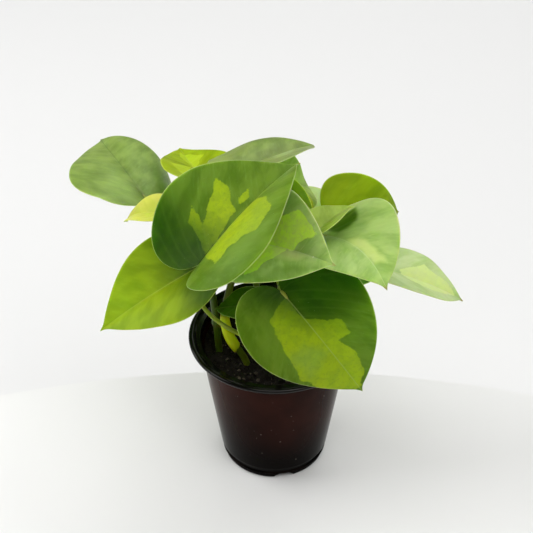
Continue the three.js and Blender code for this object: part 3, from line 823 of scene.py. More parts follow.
def wandered(x, y, seed):
    """Flat points moved about a little, so that outlines read at them wander as grown markings do."""
    place_x, place_y = x / WANDER_SPAN, y / WANDER_SPAN
    sideways = value_noise(place_x, place_y, seed + 50)
    return x + WANDER * value_noise(place_x, place_y, seed), y + WANDER * sideways


def patch_depth(leaf, x, y):
    """How far inside the blade's light patches each flat point lies, in millimetres."""
    depth = np.full(len(x), NO_PATCH)
    for corners in leaf["patches"]:
        depth = np.maximum(depth, outline_depth(leaf, corners, x, y))
    return depth


def painted_shading_level(leaf, x, y):
    """How much painted light (up to 1) or painted shade (down to -1) lies on the blade's plain green at flat
    points, partly standing for its own lighter and darker greens.
    """
    level = np.zeros(len(x))
    for amount, softness, corners in leaf["painted_shading"]:
        share = np.clip(outline_depth(leaf, corners, x, y) / softness / 2 + 0.5, 0, 1)
        level += amount * share * share * (3 - 2 * share)
    return np.clip(level, -1, 1)


def blade_mesh(leaf, number, thickness):
    """A thin leaf blade as a closed shell, with a sunk midrib, soft side veins and a wavy margin."""
    rows, columns = BLADE_ROWS, BLADE_COLUMNS
    spots, turns = midrib_frames(leaf)
    edge = heart_edge(leaf, rows + 1)
    wide = 2 * columns + 1
    x, y, s, q = [0.0], [0.0], [0.0], [0.0]
    for i in range(1, rows):
        along = i / rows
        for k in range(-columns, columns + 1):
            out = (abs(k) / columns) ** COLUMN_CROWDING
            side = 1 if k <= 0 else -leaf["right_widen"]
            x.append(leaf["length"] * along * along * (1 - out) + edge[i, 0] * out)
            y.append(side * edge[i, 1] * out)
            s.append(along)
            q.append(out)
    x.append(leaf["length"])
    y.append(0.0)
    s.append(1.0)
    q.append(0.0)
    x, y, s, q = (np.array(values) for values in (x, y, s, q))
    vein, reach = vein_place(leaf, x, y)
    wave = np.sin(2 * math.pi * RIPPLE_WAVES * s) * np.sin(math.pi * s)
    lift = leaf["ripple"] * q * q * wave
    ruffle = value_noise(s * RUFFLE_COUNT, np.sign(y) * RUFFLE_SIDE_SHIFT, SEED + number)
    lift += RUFFLE_SHARE * leaf["ripple"] * q ** 3 * ruffle
    sway = value_noise(x / SWAY_SPAN + SWAY_SHIFT, y / SWAY_SPAN, SEED + number)
    lift += SWAY_SHARE * leaf["ripple"] * sway * np.sqrt(q)
    between = np.abs(((vein / VEIN_SPACING) % 1) - 0.5) * 2
    body = np.clip(reach / QUILT_CLEAR, 0, 1) * np.clip((1 - q) * 5, 0, 1)
    lift += QUILT_RISE * body * (1 - between ** 3)
    middle = bend_points(leaf, spots, turns, x, y, lift)
    last = len(middle) - 1
    faces = []
    for k in range(wide - 1):
        faces.append((0, 2 + k, 1 + k))
        top = 1 + (rows - 2) * wide + k
        faces.append((last, top, top + 1))
        for i in range(1, rows - 1):
            start = 1 + (i - 1) * wide + k
            faces.append((start, start + 1, start + wide + 1, start + wide))
    normals = point_normals(middle, faces)
    rib = np.exp(-(y / RIB_HALF) ** 2) * np.clip(1.1 - s, 0.15, 1)
    groove = np.exp(-(y / GROOVE_HALF) ** 2) * np.clip(1.1 - s, 0.2, 1)
    thinning = np.clip((1 - q) * EDGE_TAPER, 0, 1) ** 0.5
    half = EDGE_THICKNESS / 2 + (thickness - EDGE_THICKNESS) / 2 * thinning
    above = middle + normals * (half - GROOVE_DEPTH * groove)[:, None]
    below = middle - normals * (half + RIB_PROUD * rib)[:, None]
    count = len(middle)
    shell = [*faces]
    shell += [tuple(reversed([corner + count for corner in face])) for face in faces]
    for column in (0, wide - 1):
        margin = [0, *(1 + (i - 1) * wide + column for i in range(1, rows)), last]
        if column > 0:
            margin.reverse()
        for a, b in zip(margin[:-1], margin[1:]):
            shell.append((a, b, b + count, a + count))
    distance = leaf["width"] / 2 * (1 - q)
    layers = {
        "flat": np.stack([x, y, np.zeros(count)], 1),
        "weave": np.stack([vein, reach, np.full(count, number * PATTERN_STEP)], 1),
        "patch": patch_depth(leaf, *wandered(x, y, SEED + number)),
        # Painted light and painted shade from the leaf's shading outlines
        "shade": painted_shading_level(leaf, *wandered(x, y, SEED + number)),
        "margin": distance,
    }
    attributes = {key: np.concatenate([values, values]) for key, values in layers.items()}
    attributes["under"] = np.concatenate([np.zeros(count), np.ones(count)])
    attributes["stalk"] = np.zeros(2 * count)
    return np.vstack([above, below]), shell, attributes, (spots, turns)


def point_normals(points, faces):
    """Unit normals at the points of a mesh of triangles and quads."""
    normals = np.zeros_like(points)
    for size in (3, 4):
        chosen = np.array([face for face in faces if len(face) == size])
        if len(chosen) == 0:
            continue
        corners = [points[chosen[:, corner]] for corner in range(size)]
        if size == 3:
            normal = np.cross(corners[1] - corners[0], corners[2] - corners[0])
        else:
            normal = np.cross(corners[2] - corners[0], corners[3] - corners[1])
        for corner in range(size):
            np.add.at(normals, chosen[:, corner], normal)
    return normals / np.maximum(np.linalg.norm(normals, axis=1), 1e-9)[:, None]


def stalk_path(leaf, spots, turns):
    """The leaf stalk's path from the stem's axis into the underside of the blade."""
    stem = STEMS[leaf["stem"]]
    foot = curve_through(stem["path"], 201)[round(200 * leaf["at"])]
    base = spots[0] - turns[0][:, 2] * leaf["stalk"] / 2
    neck = base - turns[0][:, 0] * STALK_NECK_BACK - np.array([0, 0, STALK_NECK_DROP])
    inner = round(STALK_SUNK_SHARE * MIDRIB_STEPS)
    sunk = spots[inner] - turns[inner][:, 2] * leaf["stalk"] / 2
    return curve_through([foot, *leaf["via"], neck, base, sunk], STALK_STEPS)


def leaf_piece(leaf, number, thickness):
    """One leaf with its stalk as a finished piece."""
    points, faces, attributes, (spots, turns) = blade_mesh(leaf, number, thickness)
    path = stalk_path(leaf, spots, turns)
    share = np.linspace(0, 1, STALK_STEPS)
    knee = KNEE_SWELL * np.exp(-((share - KNEE_PLACE) / KNEE_SPREAD) ** 2)
    radii = leaf["stalk"] * (STALK_START - STALK_TAPER * share + knee)
    radii *= 1 + HEEL_SWELL * np.exp(-(share / HEEL_SPREAD) ** 2)
    ending = share > STALK_END
    radii[ending] *= np.linspace(1, STALK_END_SHARE, int(np.sum(ending)))
    tube, tube_faces, along, around = tube_mesh(path, radii, STALK_SIDES, groove=STALK_GROOVE)
    count = len(points)
    faces = faces + [tuple(corner + count for corner in face) for face in tube_faces]
    size = len(tube)
    extra = {
        "flat": np.stack([along * 60, around * 2, np.zeros(size)], 1),
        "weave": np.stack([along * 60, around * 2, np.full(size, number * PATTERN_STEP)], 1),
        "patch": np.full(size, NO_PATCH),
        "shade": np.zeros(size),
        "margin": np.full(size, 9.0),
        "under": np.zeros(size),
        "stalk": np.ones(size),
    }
    attributes = {key: np.concatenate([attributes[key], extra[key]]) for key in attributes}
    points = np.vstack([points, tube])
    piece = make_piece(leaf["name"] + "_grown", points, faces, leaf_material(leaf), attributes)
    seat_piece(piece, leaf["name"])


# Materials

def new_material(name):
    """An empty node material with its output, and the Principled shader linked to it."""
    material = bpy.data.materials.new(name)
    material.use_nodes = True
    tree = material.node_tree
    tree.nodes.clear()
    shader = add_node(tree, "ShaderNodeBsdfPrincipled")
    add_node(tree, "ShaderNodeOutputMaterial", None, {"Surface": shader.outputs[0]})
    return material, tree, shader


def leaf_material(leaf):
    """A waxy living leaf, grown: thin and translucent, with a satin skin and marbled greens."""
    material, tree, shader = new_material(leaf["name"] + "_waxy_skin")
    tones = leaf["tones"]
    marks = {}
    for name in ("flat", "weave", "patch", "shade", "margin", "under", "stalk"):
        marks[name] = add_node(tree, "ShaderNodeAttribute", {"attribute_name": name}).outputs
    flat, weave = marks["flat"]["Vector"], marks["weave"]["Vector"]
    stretched = add_node(tree, "ShaderNodeMapping", {"Scale": (1.0, 0.3, 1.0)}, {"Vector": weave}).outputs[0]

    # Grown patterns, in cells a millimetre: clouds 13 mm wide, streaks and jags about 2 mm, grain 0.7 mm
    noise = {}
    for name, place, scale, detail, roughness in (
            ("streaks", stretched, 0.5, 4.0, 0.6),
            ("clouds", weave, 0.075, 3.0, 0.5),
            ("grain", flat, 1.4, 3.0, 0.5),
            ("mottle", flat, 0.45, 4.0, 0.7),
            ("jags", flat, 0.55, 3.0, 0.6),
            ("specks", flat, 0.8, 3.0, 0.75),
            ("drift", flat, 0.14, 2.0, 0.5)):
        settings = {"Scale": scale, "Detail": detail, "Roughness": roughness}
        noise[name] = add_node(tree, "ShaderNodeTexNoise", settings, {"Vector": place}).outputs["Fac"]

    # A patch's edge is jagged by the noise, so it breaks up as the real marbling does
    jagged = add_node(
        tree, "ShaderNodeMath", {"operation": "ADD"}, {0: noise["jags"], 1: noise["streaks"]}).outputs[0]
    fray = add_node(tree, "ShaderNodeMath", {"operation": "SUBTRACT", 1: 1.0}, {0: jagged}).outputs[0]
    patch = add_node(
        tree, "ShaderNodeMath", {"operation": "MULTIPLY_ADD", 1: FRAY}, {0: fray, 2: marks["patch"]["Fac"]})
    place = add_node(tree, "ShaderNodeSeparateXYZ", None, {0: flat}).outputs
    beside_rib = add_node(tree, "ShaderNodeMath", {"operation": "ABSOLUTE"}, {0: place["Y"]})
    vein_start = add_node(tree, "ShaderNodeSeparateXYZ", None, {0: weave}).outputs["X"]
    beside_vein = add_node(
        tree, "ShaderNodeMath", {"operation": "PINGPONG", 1: VEIN_SPACING / 2}, {0: vein_start})
    spots = []
    for spot_x, spot_y, radius in leaf["spots"]:
        centre = (spot_x * leaf["length"], spot_y * leaf["width"], 0)
        away = add_node(tree, "ShaderNodeVectorMath", {"operation": "DISTANCE", 1: centre}, {0: flat})
        spots.append((away.outputs["Value"], radius, radius / 2, 0.8, tones["speck"]))
    withered = TIP_SHARE * leaf["length"]

    # Layers, the lowest first: a level, where it starts and is full, its strength and its tone.
    # A plain green is built up first, then the patch's own green, and the rest lies over both.
    greens = {
        "plain": (tones["deep"], [
            (noise["clouds"], 0.36, 0.64, 1.0, tones["green"]),
            (noise["streaks"], 0.5, 0.75, leaf["streak"], tones["light"]),
        ]),
        "patch_colour": (tones["patch"], [
            (noise["drift"], 0.4, 0.62, PATCH_DRIFT, tones["green"]),
            (noise["mottle"], 0.48, 0.7, PATCH_MOTTLE, tones["green"]),
        ]),
        "skin": (None, [
            # Painted light toward the light green and painted shade by the dim tone, from the shading
            # outlines
            (marks["shade"]["Fac"], 0.0, 1.0, 0.8, tones["light"]),
            (marks["shade"]["Fac"], 0.0, -1.0, 1.0, tones["dim"], "MULTIPLY"),
            (noise["specks"], 0.68, 0.76, leaf["speckle"], tones["speck"]),
            *spots,
            (beside_vein.outputs[0], VEIN_TONE_HALF, 0.0, VEIN_STRENGTH, tones["light"]),
            (beside_rib.outputs[0], 0.55, 0.12, 0.4, tones["rib"]),
            (marks["margin"]["Fac"], 0.55, 0.1, 0.55, tones["edge"]),
            (place["X"], withered - 1, withered + 1, leaf["tip"], WITHERED_TONE),
            (marks["under"]["Fac"], 0.0, 1.0, 0.55, tones["under"]),
            (marks["stalk"]["Fac"], 0.0, 1.0, 1.0, tones["stalk"]),
        ]),
    }
    made = {}
    for name, (ground, layers) in greens.items():
        if ground is None:
            inside = add_node(
                tree, "ShaderNodeMapRange",
                {"interpolation_type": "SMOOTHSTEP", "From Min": -PATCH_EDGE, "From Max": PATCH_EDGE},
                {"Value": patch.outputs[0]})
            colour = add_node(
                tree, "ShaderNodeMix", {"data_type": "RGBA"},
                {"Factor": inside.outputs["Result"], 6: made["plain"], 7: made["patch_colour"]}).outputs[2]
        else:
            colour = add_node(tree, "ShaderNodeRGB").outputs[0]
            colour.default_value = linear(ground)
        for level, start, full, strength, tone, *blending in layers:
            rise = add_node(
                tree, "ShaderNodeMapRange",
                {"interpolation_type": "SMOOTHSTEP", "From Min": start, "From Max": full, "To Max": strength},
                {"Value": level})
            colour = add_node(
                tree, "ShaderNodeMix",
                {"data_type": "RGBA", "blend_type": (blending or ["MIX"])[0], 7: linear(tone)},
                {"Factor": rise.outputs["Result"], 6: colour}).outputs[2]
        made[name] = colour
    tree.links.new(made["skin"], shader.inputs["Base Color"])

    rough = add_node(
        tree, "ShaderNodeMapRange", {"To Min": leaf["rough"] - 0.06, "To Max": leaf["rough"] + 0.08},
        {"Value": noise["grain"]})
    tree.links.new(rough.outputs["Result"], shader.inputs["Roughness"])
    relief = add_node(
        tree, "ShaderNodeMath", {"operation": "MULTIPLY_ADD", 1: 0.5},
        {0: noise["grain"], 2: noise["streaks"]})
    bump = add_node(
        tree, "ShaderNodeBump", {"Strength": 0.25, "Distance": 0.0004}, {"Height": relief.outputs[0]})
    tree.links.new(bump.outputs[0], shader.inputs["Normal"])
    shader.inputs["IOR"].default_value = 1.45
    shader.inputs["Specular IOR Level"].default_value = leaf["gloss"]
    shader.inputs["Subsurface Weight"].default_value = 0.9
    shader.inputs["Subsurface Radius"].default_value = (0.9, 1.4, 0.25)
    shader.inputs["Subsurface Scale"].default_value = 0.0025
    return material


def stem_material(name, deep, light, bark):
    """A green vine stem, grown: smooth fibrous skin, brown corky scars at its nodes, a fresh pale sheath."""
    material, tree, shader = new_material(name)
    place = add_node(tree, "ShaderNodeAttribute", {"attribute_name": "weave"}).outputs["Vector"]
    scar = add_node(tree, "ShaderNodeAttribute", {"attribute_name": "scar"}).outputs["Fac"]
    stretch = {"Scale": (0.12, 1.0, 1.0)}
    stretched = add_node(tree, "ShaderNodeMapping", stretch, {"Vector": place}).outputs[0]
    fibres = add_node(tree, "ShaderNodeTexNoise", {"Scale": 1.6, "Detail": 5.0}, {"Vector": stretched})
    skin = add_node(tree, "ShaderNodeMix", {"data_type": "RGBA"}, {"Factor": fibres.outputs["Fac"]})
    skin.inputs[6].default_value = linear(deep)
    skin.inputs[7].default_value = linear(light)
    wrap = add_node(tree, "ShaderNodeAttribute", {"attribute_name": "wrap"}).outputs["Fac"]
    fresh = add_node(
        tree, "ShaderNodeMix", {"data_type": "RGBA", 7: linear(SHEATH_TONE)},
        {"Factor": wrap, 6: skin.outputs[2]})
    cork = add_node(tree, "ShaderNodeMix", {"data_type": "RGBA"}, {"Factor": scar, 6: fresh.outputs[2]})
    cork.inputs[7].default_value = linear(bark)
    tree.links.new(cork.outputs[2], shader.inputs["Base Color"])
    bump = add_node(
        tree, "ShaderNodeBump", {"Strength": 0.4, "Distance": 0.0003}, {"Height": fibres.outputs["Fac"]})
    tree.links.new(bump.outputs[0], shader.inputs["Normal"])
    shader.inputs["Roughness"].default_value = 0.42
    shader.inputs["Specular IOR Level"].default_value = 0.2
    shader.inputs["Subsurface Weight"].default_value = 0.3
    shader.inputs["Subsurface Scale"].default_value = 0.001
    return material


def pot_material(colours):
    """Polypropylene, thermoformed: thin, glossy and dark, with a warm brown glow painted on the wall between
    foot and lip, standing for light that shines through the thin plastic.
    """
    material, tree, shader = new_material("polypropylene_thermoformed")
    place = add_node(tree, "ShaderNodeTexCoord").outputs["Object"]
    height = add_node(tree, "ShaderNodeSeparateXYZ", None, {0: place}).outputs["Z"]
    haze = add_node(tree, "ShaderNodeTexNoise", {"Scale": 22.0, "Detail": 3.0}, {"Vector": place})
    # Painted glow: warm brown on the wall between foot and lip, standing for light shining through the
    # plastic, darker towards the foot and gone under the lip
    above_foot = add_node(
        tree, "ShaderNodeMapRange",
        {"interpolation_type": "SMOOTHSTEP", "From Min": GLOW_START * MM, "From Max": GLOW_FULL * MM},
        {"Value": height})
    below_lip = add_node(
        tree, "ShaderNodeMapRange",
        {"interpolation_type": "SMOOTHSTEP", "From Min": GLOW_END * MM, "From Max": (GLOW_END - 4) * MM},
        {"Value": height})
    painted_glow_band = add_node(
        tree, "ShaderNodeMath", {"operation": "MULTIPLY"},
        {0: above_foot.outputs["Result"], 1: below_lip.outputs["Result"]})
    glow = add_node(
        tree, "ShaderNodeMapRange", {"From Min": 0.3, "From Max": 0.62, "To Min": 0.35},
        {"Value": haze.outputs["Fac"]})
    painted_glow = add_node(
        tree, "ShaderNodeMath", {"operation": "MULTIPLY"}, {0: glow.outputs["Result"], 1: painted_glow_band.outputs[0]})
    base = add_node(
        tree, "ShaderNodeMix", {"data_type": "RGBA", 6: colours.pot_deep, 7: colours.pot_warm},
        {"Factor": painted_glow.outputs[0]})
    flecks = add_node(
        tree, "ShaderNodeTexNoise", {"Scale": 420.0, "Detail": 2.0, "Roughness": 0.7}, {"Vector": place})
    few = add_node(
        tree, "ShaderNodeMapRange", {"From Min": 0.71, "From Max": 0.78, "To Max": 0.5},
        {"Value": flecks.outputs["Fac"]})
    scuffed = add_node(
        tree, "ShaderNodeMix", {"data_type": "RGBA", 7: linear("a39c8f")},
        {"Factor": few.outputs["Result"], 6: base.outputs[2]})
    tree.links.new(scuffed.outputs[2], shader.inputs["Base Color"])
    rough = add_node(
        tree, "ShaderNodeMapRange", {"To Min": 0.1, "To Max": 0.24}, {"Value": haze.outputs["Fac"]})
    tree.links.new(rough.outputs["Result"], shader.inputs["Roughness"])
    bump = add_node(
        tree, "ShaderNodeBump", {"Strength": 0.12, "Distance": 0.0006}, {"Height": haze.outputs["Fac"]})
    tree.links.new(bump.outputs[0], shader.inputs["Normal"])
    lip = add_node(
        tree, "ShaderNodeMapRange", {"To Min": 0.4, "To Max": 0.0}, {"Value": below_lip.outputs["Result"]})
    tree.links.new(lip.outputs["Result"], shader.inputs["Coat Weight"])
    shader.inputs["Coat Roughness"].default_value = 0.12
    shader.inputs["IOR"].default_value = 1.49
    shader.inputs["Specular IOR Level"].default_value = 0.03
    shader.inputs["Specular Tint"].default_value = linear("e0b0a0")
    return material


def soil_material():
    """Peat and bark potting mix, damp: near-black, matt and open, with a few pale crumbs."""
    material, tree, shader = new_material("peat_bark_mix_damp")
    place = add_node(tree, "ShaderNodeTexCoord").outputs["Object"]
    tone = add_node(tree, "ShaderNodeAttribute", {"attribute_name": "pale"}).outputs["Fac"]
    noise = add_node(tree, "ShaderNodeTexNoise", {"Scale": 420.0, "Detail": 4.0}, {"Vector": place})
    dark = add_node(tree, "ShaderNodeMix", {"data_type": "RGBA"}, {"Factor": noise.outputs["Fac"]})
    dark.inputs[6].default_value = linear("030302")
    dark.inputs[7].default_value = linear("241d16")
    mixed = add_node(tree, "ShaderNodeMix", {"data_type": "RGBA"}, {"Factor": tone, 6: dark.outputs[2]})
    mixed.inputs[7].default_value = linear("b9ab92")
    tree.links.new(mixed.outputs[2], shader.inputs["Base Color"])
    bump = add_node(
        tree, "ShaderNodeBump", {"Strength": 0.8, "Distance": 0.0008}, {"Height": noise.outputs["Fac"]})
    tree.links.new(bump.outputs[0], shader.inputs["Normal"])
    shader.inputs["Roughness"].default_value = 0.7
    shader.inputs["Specular IOR Level"].default_value = 0.15
    return material


def matt_board(settings):
    """Melamine board, pressed: white and matt, with no visible grain."""
    material, _, shader = new_material("melamine_board_pressed")
    shader.inputs["Base Color"].default_value = settings.table_colour
    shader.inputs["Roughness"].default_value = 0.75
    shader.inputs["Specular IOR Level"].default_value = 0.2
    return material


def backdrop_paper(settings):
    """Seamless paper, uncoated: pale and fully matt."""
    material, _, shader = new_material("seamless_paper_uncoated")
    shader.inputs["Base Color"].default_value = settings.paper_colour
    shader.inputs["Roughness"].default_value = 0.95
    shader.inputs["Specular IOR Level"].default_value = 0.1
    return material


def room_world(strength):
    """A plain room: bright toward the window at the back left and overhead, dim toward the viewer."""
    world = bpy.data.worlds.new("plain_room")
    world.use_nodes = True
    tree = world.node_tree
    tree.nodes.clear()
    facing = add_node(tree, "ShaderNodeTexCoord").outputs["Generated"]
    toward = add_node(
        tree, "ShaderNodeVectorMath", {"operation": "DOT_PRODUCT", 1: ROOM_BRIGHT_SIDE}, {0: facing})
    level = add_node(
        tree, "ShaderNodeMapRange",
        {"interpolation_type": "SMOOTHSTEP", "From Min": -0.5, "From Max": 0.8,
         "To Min": ROOM_DIM_SHARE * strength, "To Max": strength},
        {"Value": toward.outputs["Value"]})
    light = add_node(tree, "ShaderNodeBackground", None, {"Strength": level.outputs["Result"]})
    add_node(tree, "ShaderNodeOutputWorld", None, {"Surface": light.outputs[0]})
    return world


# Pot

def wall_radius(z):
    """The pot wall's outer radius at a height."""
    low = FOOT_HEIGHT + FOOT_STEP
    share = (z - low) / (POT_HEIGHT - LIP_DROP - low)
    return WALL_FOOT_RADIUS + (WALL_TOP_RADIUS - WALL_FOOT_RADIUS) * share


def foot_radius(z):
    """The foot's outer radius at a height."""
    return FOOT_RADIUS + FOOT_FLARE * (z - FOOT_ROUND)


def ring_bump(radius_at, height):
    """A fine raised ring as a rounded swell in the profile."""
    places = []
    for share in np.linspace(-1, 1, 9):
        z = height + RING_HALF * share
        places.append((radius_at(z) + RING_PROUD * math.cos(share * math.pi / 2) ** 1.5, z))
    return places


def round_edge(radius, height, size, start, stop, steps):
    """Places round an arc, by angles in degrees above the outward direction."""
    places = []
    for i in range(steps + 1):
        angle = math.radians(start + (stop - start) * i / steps)
        places.append((radius + size * math.cos(angle), height + size * math.sin(angle)))
    return places


def pot_profile():
    """The pot's closed cross-section, from the middle of the underside round to the middle of the floor."""
    lip = LIP_DROP / 2
    base = FOOT_HEIGHT + FOOT_STEP
    top = POT_HEIGHT - LIP_DROP
    return [
        (0, 0),
        (PLATE_RADIUS - 1, 0),
        (PLATE_RADIUS, 0),
        (PLATE_RADIUS + CHANNEL_SLOPE, CHANNEL_RISE),
        (CHANNEL_OUTER, CHANNEL_RISE),
        (CHANNEL_OUTER + CHANNEL_SLOPE, 0),
        *round_edge(FOOT_RADIUS - FOOT_ROUND, FOOT_ROUND, FOOT_ROUND, -90, 0, 6),
        *ring_bump(foot_radius, LOWER_RING_HEIGHT),
        (foot_radius(FOOT_HEIGHT), FOOT_HEIGHT - 0.4),
        (foot_radius(FOOT_HEIGHT) + 0.3, FOOT_HEIGHT + 0.2),
        (WALL_FOOT_RADIUS - 0.2, base - 0.3),
        (WALL_FOOT_RADIUS, base),
        (wall_radius(base + 1), base + 1),
        *[(wall_radius(z), z) for z in np.linspace(base + 6, POT_HEIGHT - UPPER_RING_DROP - 3, 9)],
        *ring_bump(wall_radius, POT_HEIGHT - UPPER_RING_DROP),
        (wall_radius(top - 1), top - 1),
        (WALL_TOP_RADIUS + 0.1, top - 0.3),
        (WALL_TOP_RADIUS + 0.5, top),
        (LIP_RADIUS - lip - 1, top),
        *round_edge(LIP_RADIUS - lip, POT_HEIGHT - lip, lip, -90, 90, 12),
        (LIP_RADIUS - LIP_BEVEL + 0.8, POT_HEIGHT - 0.25),
        (LIP_RADIUS - LIP_BEVEL, POT_HEIGHT - LIP_DIP),
        (LIP_RADIUS - LIP_BEVEL - 0.8, POT_HEIGHT - LIP_DIP - 0.7),
        (WALL_TOP_RADIUS - WALL / 2, top + WALL),
        (WALL_TOP_RADIUS - WALL + 0.1, top + 0.6),
        (WALL_TOP_RADIUS - WALL, top),
        (WALL_FOOT_RADIUS - WALL, base),
        (FOOT_RADIUS - WALL, FOOT_HEIGHT - FOOT_STEP),
        (FOOT_RADIUS - WALL, PLATE),
        (CHANNEL_OUTER + CHANNEL_SLOPE + CHANNEL_WALL, PLATE),
        (CHANNEL_OUTER + CHANNEL_WALL, CHANNEL_RISE + PLATE),
        (PLATE_RADIUS + CHANNEL_SLOPE - CHANNEL_WALL, CHANNEL_RISE + PLATE),
        (PLATE_RADIUS - CHANNEL_WALL, PLATE),
        (0, PLATE),
    ]


def turned_mesh(profile, sides):
    """Points and faces of a turned body whose profile starts and ends on the axis."""
    inner = profile[1:-1]
    angles = np.linspace(0, 2 * math.pi, sides, endpoint=False)
    points = [(0, 0, profile[0][1])]
    for radius, z in inner:
        points += [(radius * math.cos(a), radius * math.sin(a), z) for a in angles]
    points.append((0, 0, profile[-1][1]))
    faces = []
    for k in range(sides):
        after = (k + 1) % sides
        faces.append((0, 1 + after, 1 + k))
        for i in range(len(inner) - 1):
            low = 1 + i * sides
            high = low + sides
            faces.append((low + k, low + after, high + after, high + k))
        top = 1 + (len(inner) - 1) * sides
        faces.append((len(points) - 1, top + k, top + after))
    return np.array(points, float), faces


def arch_cutter(width, height, degrees):
    """A round-topped cutter that runs out through the foot."""
    start = CHANNEL_OUTER + CHANNEL_SLOPE / 2
    stop = LIP_RADIUS
    angle = math.radians(degrees)
    out = np.array([math.cos(angle), math.sin(angle), 0])
    side = np.array([-math.sin(angle), math.cos(angle), 0])
    points = []
    for reach in (start, stop):
        for k in range(ARCH_SIDES):
            turn = 2 * math.pi * k / ARCH_SIDES
            rise = np.array([0, 0, height * math.sin(turn)])
            points.append(out * reach + side * width / 2 * math.cos(turn) + rise)
    faces = [tuple(range(ARCH_SIDES))[::-1], tuple(range(ARCH_SIDES, 2 * ARCH_SIDES))]
    for k in range(ARCH_SIDES):
        after = (k + 1) % ARCH_SIDES
        faces.append((k, after, ARCH_SIDES + after, ARCH_SIDES + k))
    return np.array(points), faces


def cut_piece(piece, cutters):
    """Cuts the cutters' shapes out of a piece and drops the cutters."""
    for cutter in cutters:
        cut = piece.modifiers.new("cut", "BOOLEAN")
        cut.operation = "DIFFERENCE"
        cut.solver = "EXACT"
        cut.object = cutter
    graph = bpy.context.evaluated_depsgraph_get()
    piece.data = bpy.data.meshes.new_from_object(piece.evaluated_get(graph))
    piece.modifiers.clear()
    for cutter in cutters:
        bpy.data.objects.remove(cutter)


# Soil

def soil_height(x, y):
    """The height of the soil's surface: broad lumps with finer grain."""
    turn = 2 * math.pi
    lump = np.sin(turn * x / SOIL_LUMP_SPAN) * np.cos(turn * y / SOIL_LUMP_SPAN)
    grain = np.sin(turn * (x + y) / SOIL_GRAIN_SPAN) * np.cos(turn * y / SOIL_GRAIN_SPAN)
    return SOIL_TOP + SOIL_LUMP * lump + SOIL_GRAIN * grain


def crumb_shape():
    """Corners and outward faces of a twenty-sided ball of radius 1."""
    golden = (1 + math.sqrt(5)) / 2
    corners = []
    for short in (-1, 1):
        for long in (-golden, golden):
            corners += [(0, short, long), (short, long, 0), (long, 0, short)]
    corners = np.array(corners, float)
    faces = []
    for a, b, c in itertools.combinations(range(len(corners)), 3):
        near = all(math.dist(corners[i], corners[j]) < 2.1 for i, j in ((a, b), (b, c), (a, c)))
        if near:
            outward = np.cross(corners[b] - corners[a], corners[c] - corners[a]) @ corners[a] > 0
            faces.append((a, b, c) if outward else (a, c, b))
    return corners / math.hypot(1, golden), faces


def crumb_points(draw, corners, centre, size):
    """One soil crumb's corners: the ball made lumpy, squashed and turned at random."""
    lumpy = corners * draw.uniform(0.75, 1.25, (len(corners), 1))
    turn = turned("Z", draw.uniform(0, 360)) @ turned("X", draw.uniform(0, 360))
    return (lumpy * (1, draw.uniform(0.5, 1), draw.uniform(0.4, 0.8)) * size) @ turn.T + centre


# Add-on classes

class PotSettings(bpy.types.PropertyGroup):
    """Sizes and colours of the nursery pot."""

    sides: bpy.props.IntProperty(name="Sides", description="Facets round the pot", default=POT_SIDES, min=24)
    pot_deep: bpy.props.FloatVectorProperty(
        name="Deep colour", description="Darkest brown of the plastic", subtype="COLOR", size=4,
        default=linear("070605"), min=0, max=1)
    pot_warm: bpy.props.FloatVectorProperty(
        name="Warm colour", description="Reddish brown where light gets into the plastic", subtype="COLOR",
        size=4, default=linear("351a14"), min=0, max=1)


class SoilSettings(bpy.types.PropertyGroup):
    """How the soil's surface is made."""

    crumbs: bpy.props.IntProperty(
        name="Crumbs", description="Loose crumbs on the soil", default=CRUMB_TOTAL, min=0)
    roughness: bpy.props.FloatProperty(
        name="Surface relief", description="Height of the fine relief", default=SOIL_RELIEF * MM,
        unit="LENGTH", subtype="DISTANCE")


class StemSettings(bpy.types.PropertyGroup):
    """Sizes of the vine stems."""

    radius: bpy.props.FloatProperty(
        name="Stem radius", description="Radius of a stem between its nodes", default=STEM_RADIUS * MM,
        unit="LENGTH", subtype="DISTANCE")


class LeafSettings(bpy.types.PropertyGroup):
    """Sizes shared by all the leaves."""

    thickness: bpy.props.FloatProperty(
        name="Blade thickness", description="Thickness of a blade away from its rib",
        default=BLADE_THICKNESS * MM, unit="LENGTH", subtype="DISTANCE")


class StageSettings(bpy.types.PropertyGroup):
    """Table, backdrop and light."""

    table_colour: bpy.props.FloatVectorProperty(
        name="Table colour", description="Colour of the round table top", subtype="COLOR", size=4,
        default=linear("e9e9e7"), min=0, max=1)
    paper_colour: bpy.props.FloatVectorProperty(
        name="Backdrop colour", description="Colour of the paper behind the table", subtype="COLOR", size=4,
        default=linear("e7e7e6"), min=0, max=1)
    left_power: bpy.props.FloatProperty(
        name="Left light", description="Power of the soft light at the left", default=17.0, unit="POWER")
    overhead_power: bpy.props.FloatProperty(
        name="Overhead light", description="Power of the soft light overhead", default=4.0, unit="POWER")
    back_power: bpy.props.FloatProperty(
        name="Back light", description="Power of the soft light behind the plant", default=8.0, unit="POWER")
    front_power: bpy.props.FloatProperty(
        name="Front light", description="Power of the soft light above the viewer", default=9.0, unit="POWER")
    right_power: bpy.props.FloatProperty(
        name="Right light", description="Power of the soft light at the front right", default=10.0,
        unit="POWER")
    rear_power: bpy.props.FloatProperty(
        name="Rear right light", description="Power of the soft light at the back right", default=7.5,
        unit="POWER")
    room_light: bpy.props.FloatProperty(
        name="Room light", description="Brightness of the room round the stage", default=0.06, min=0)


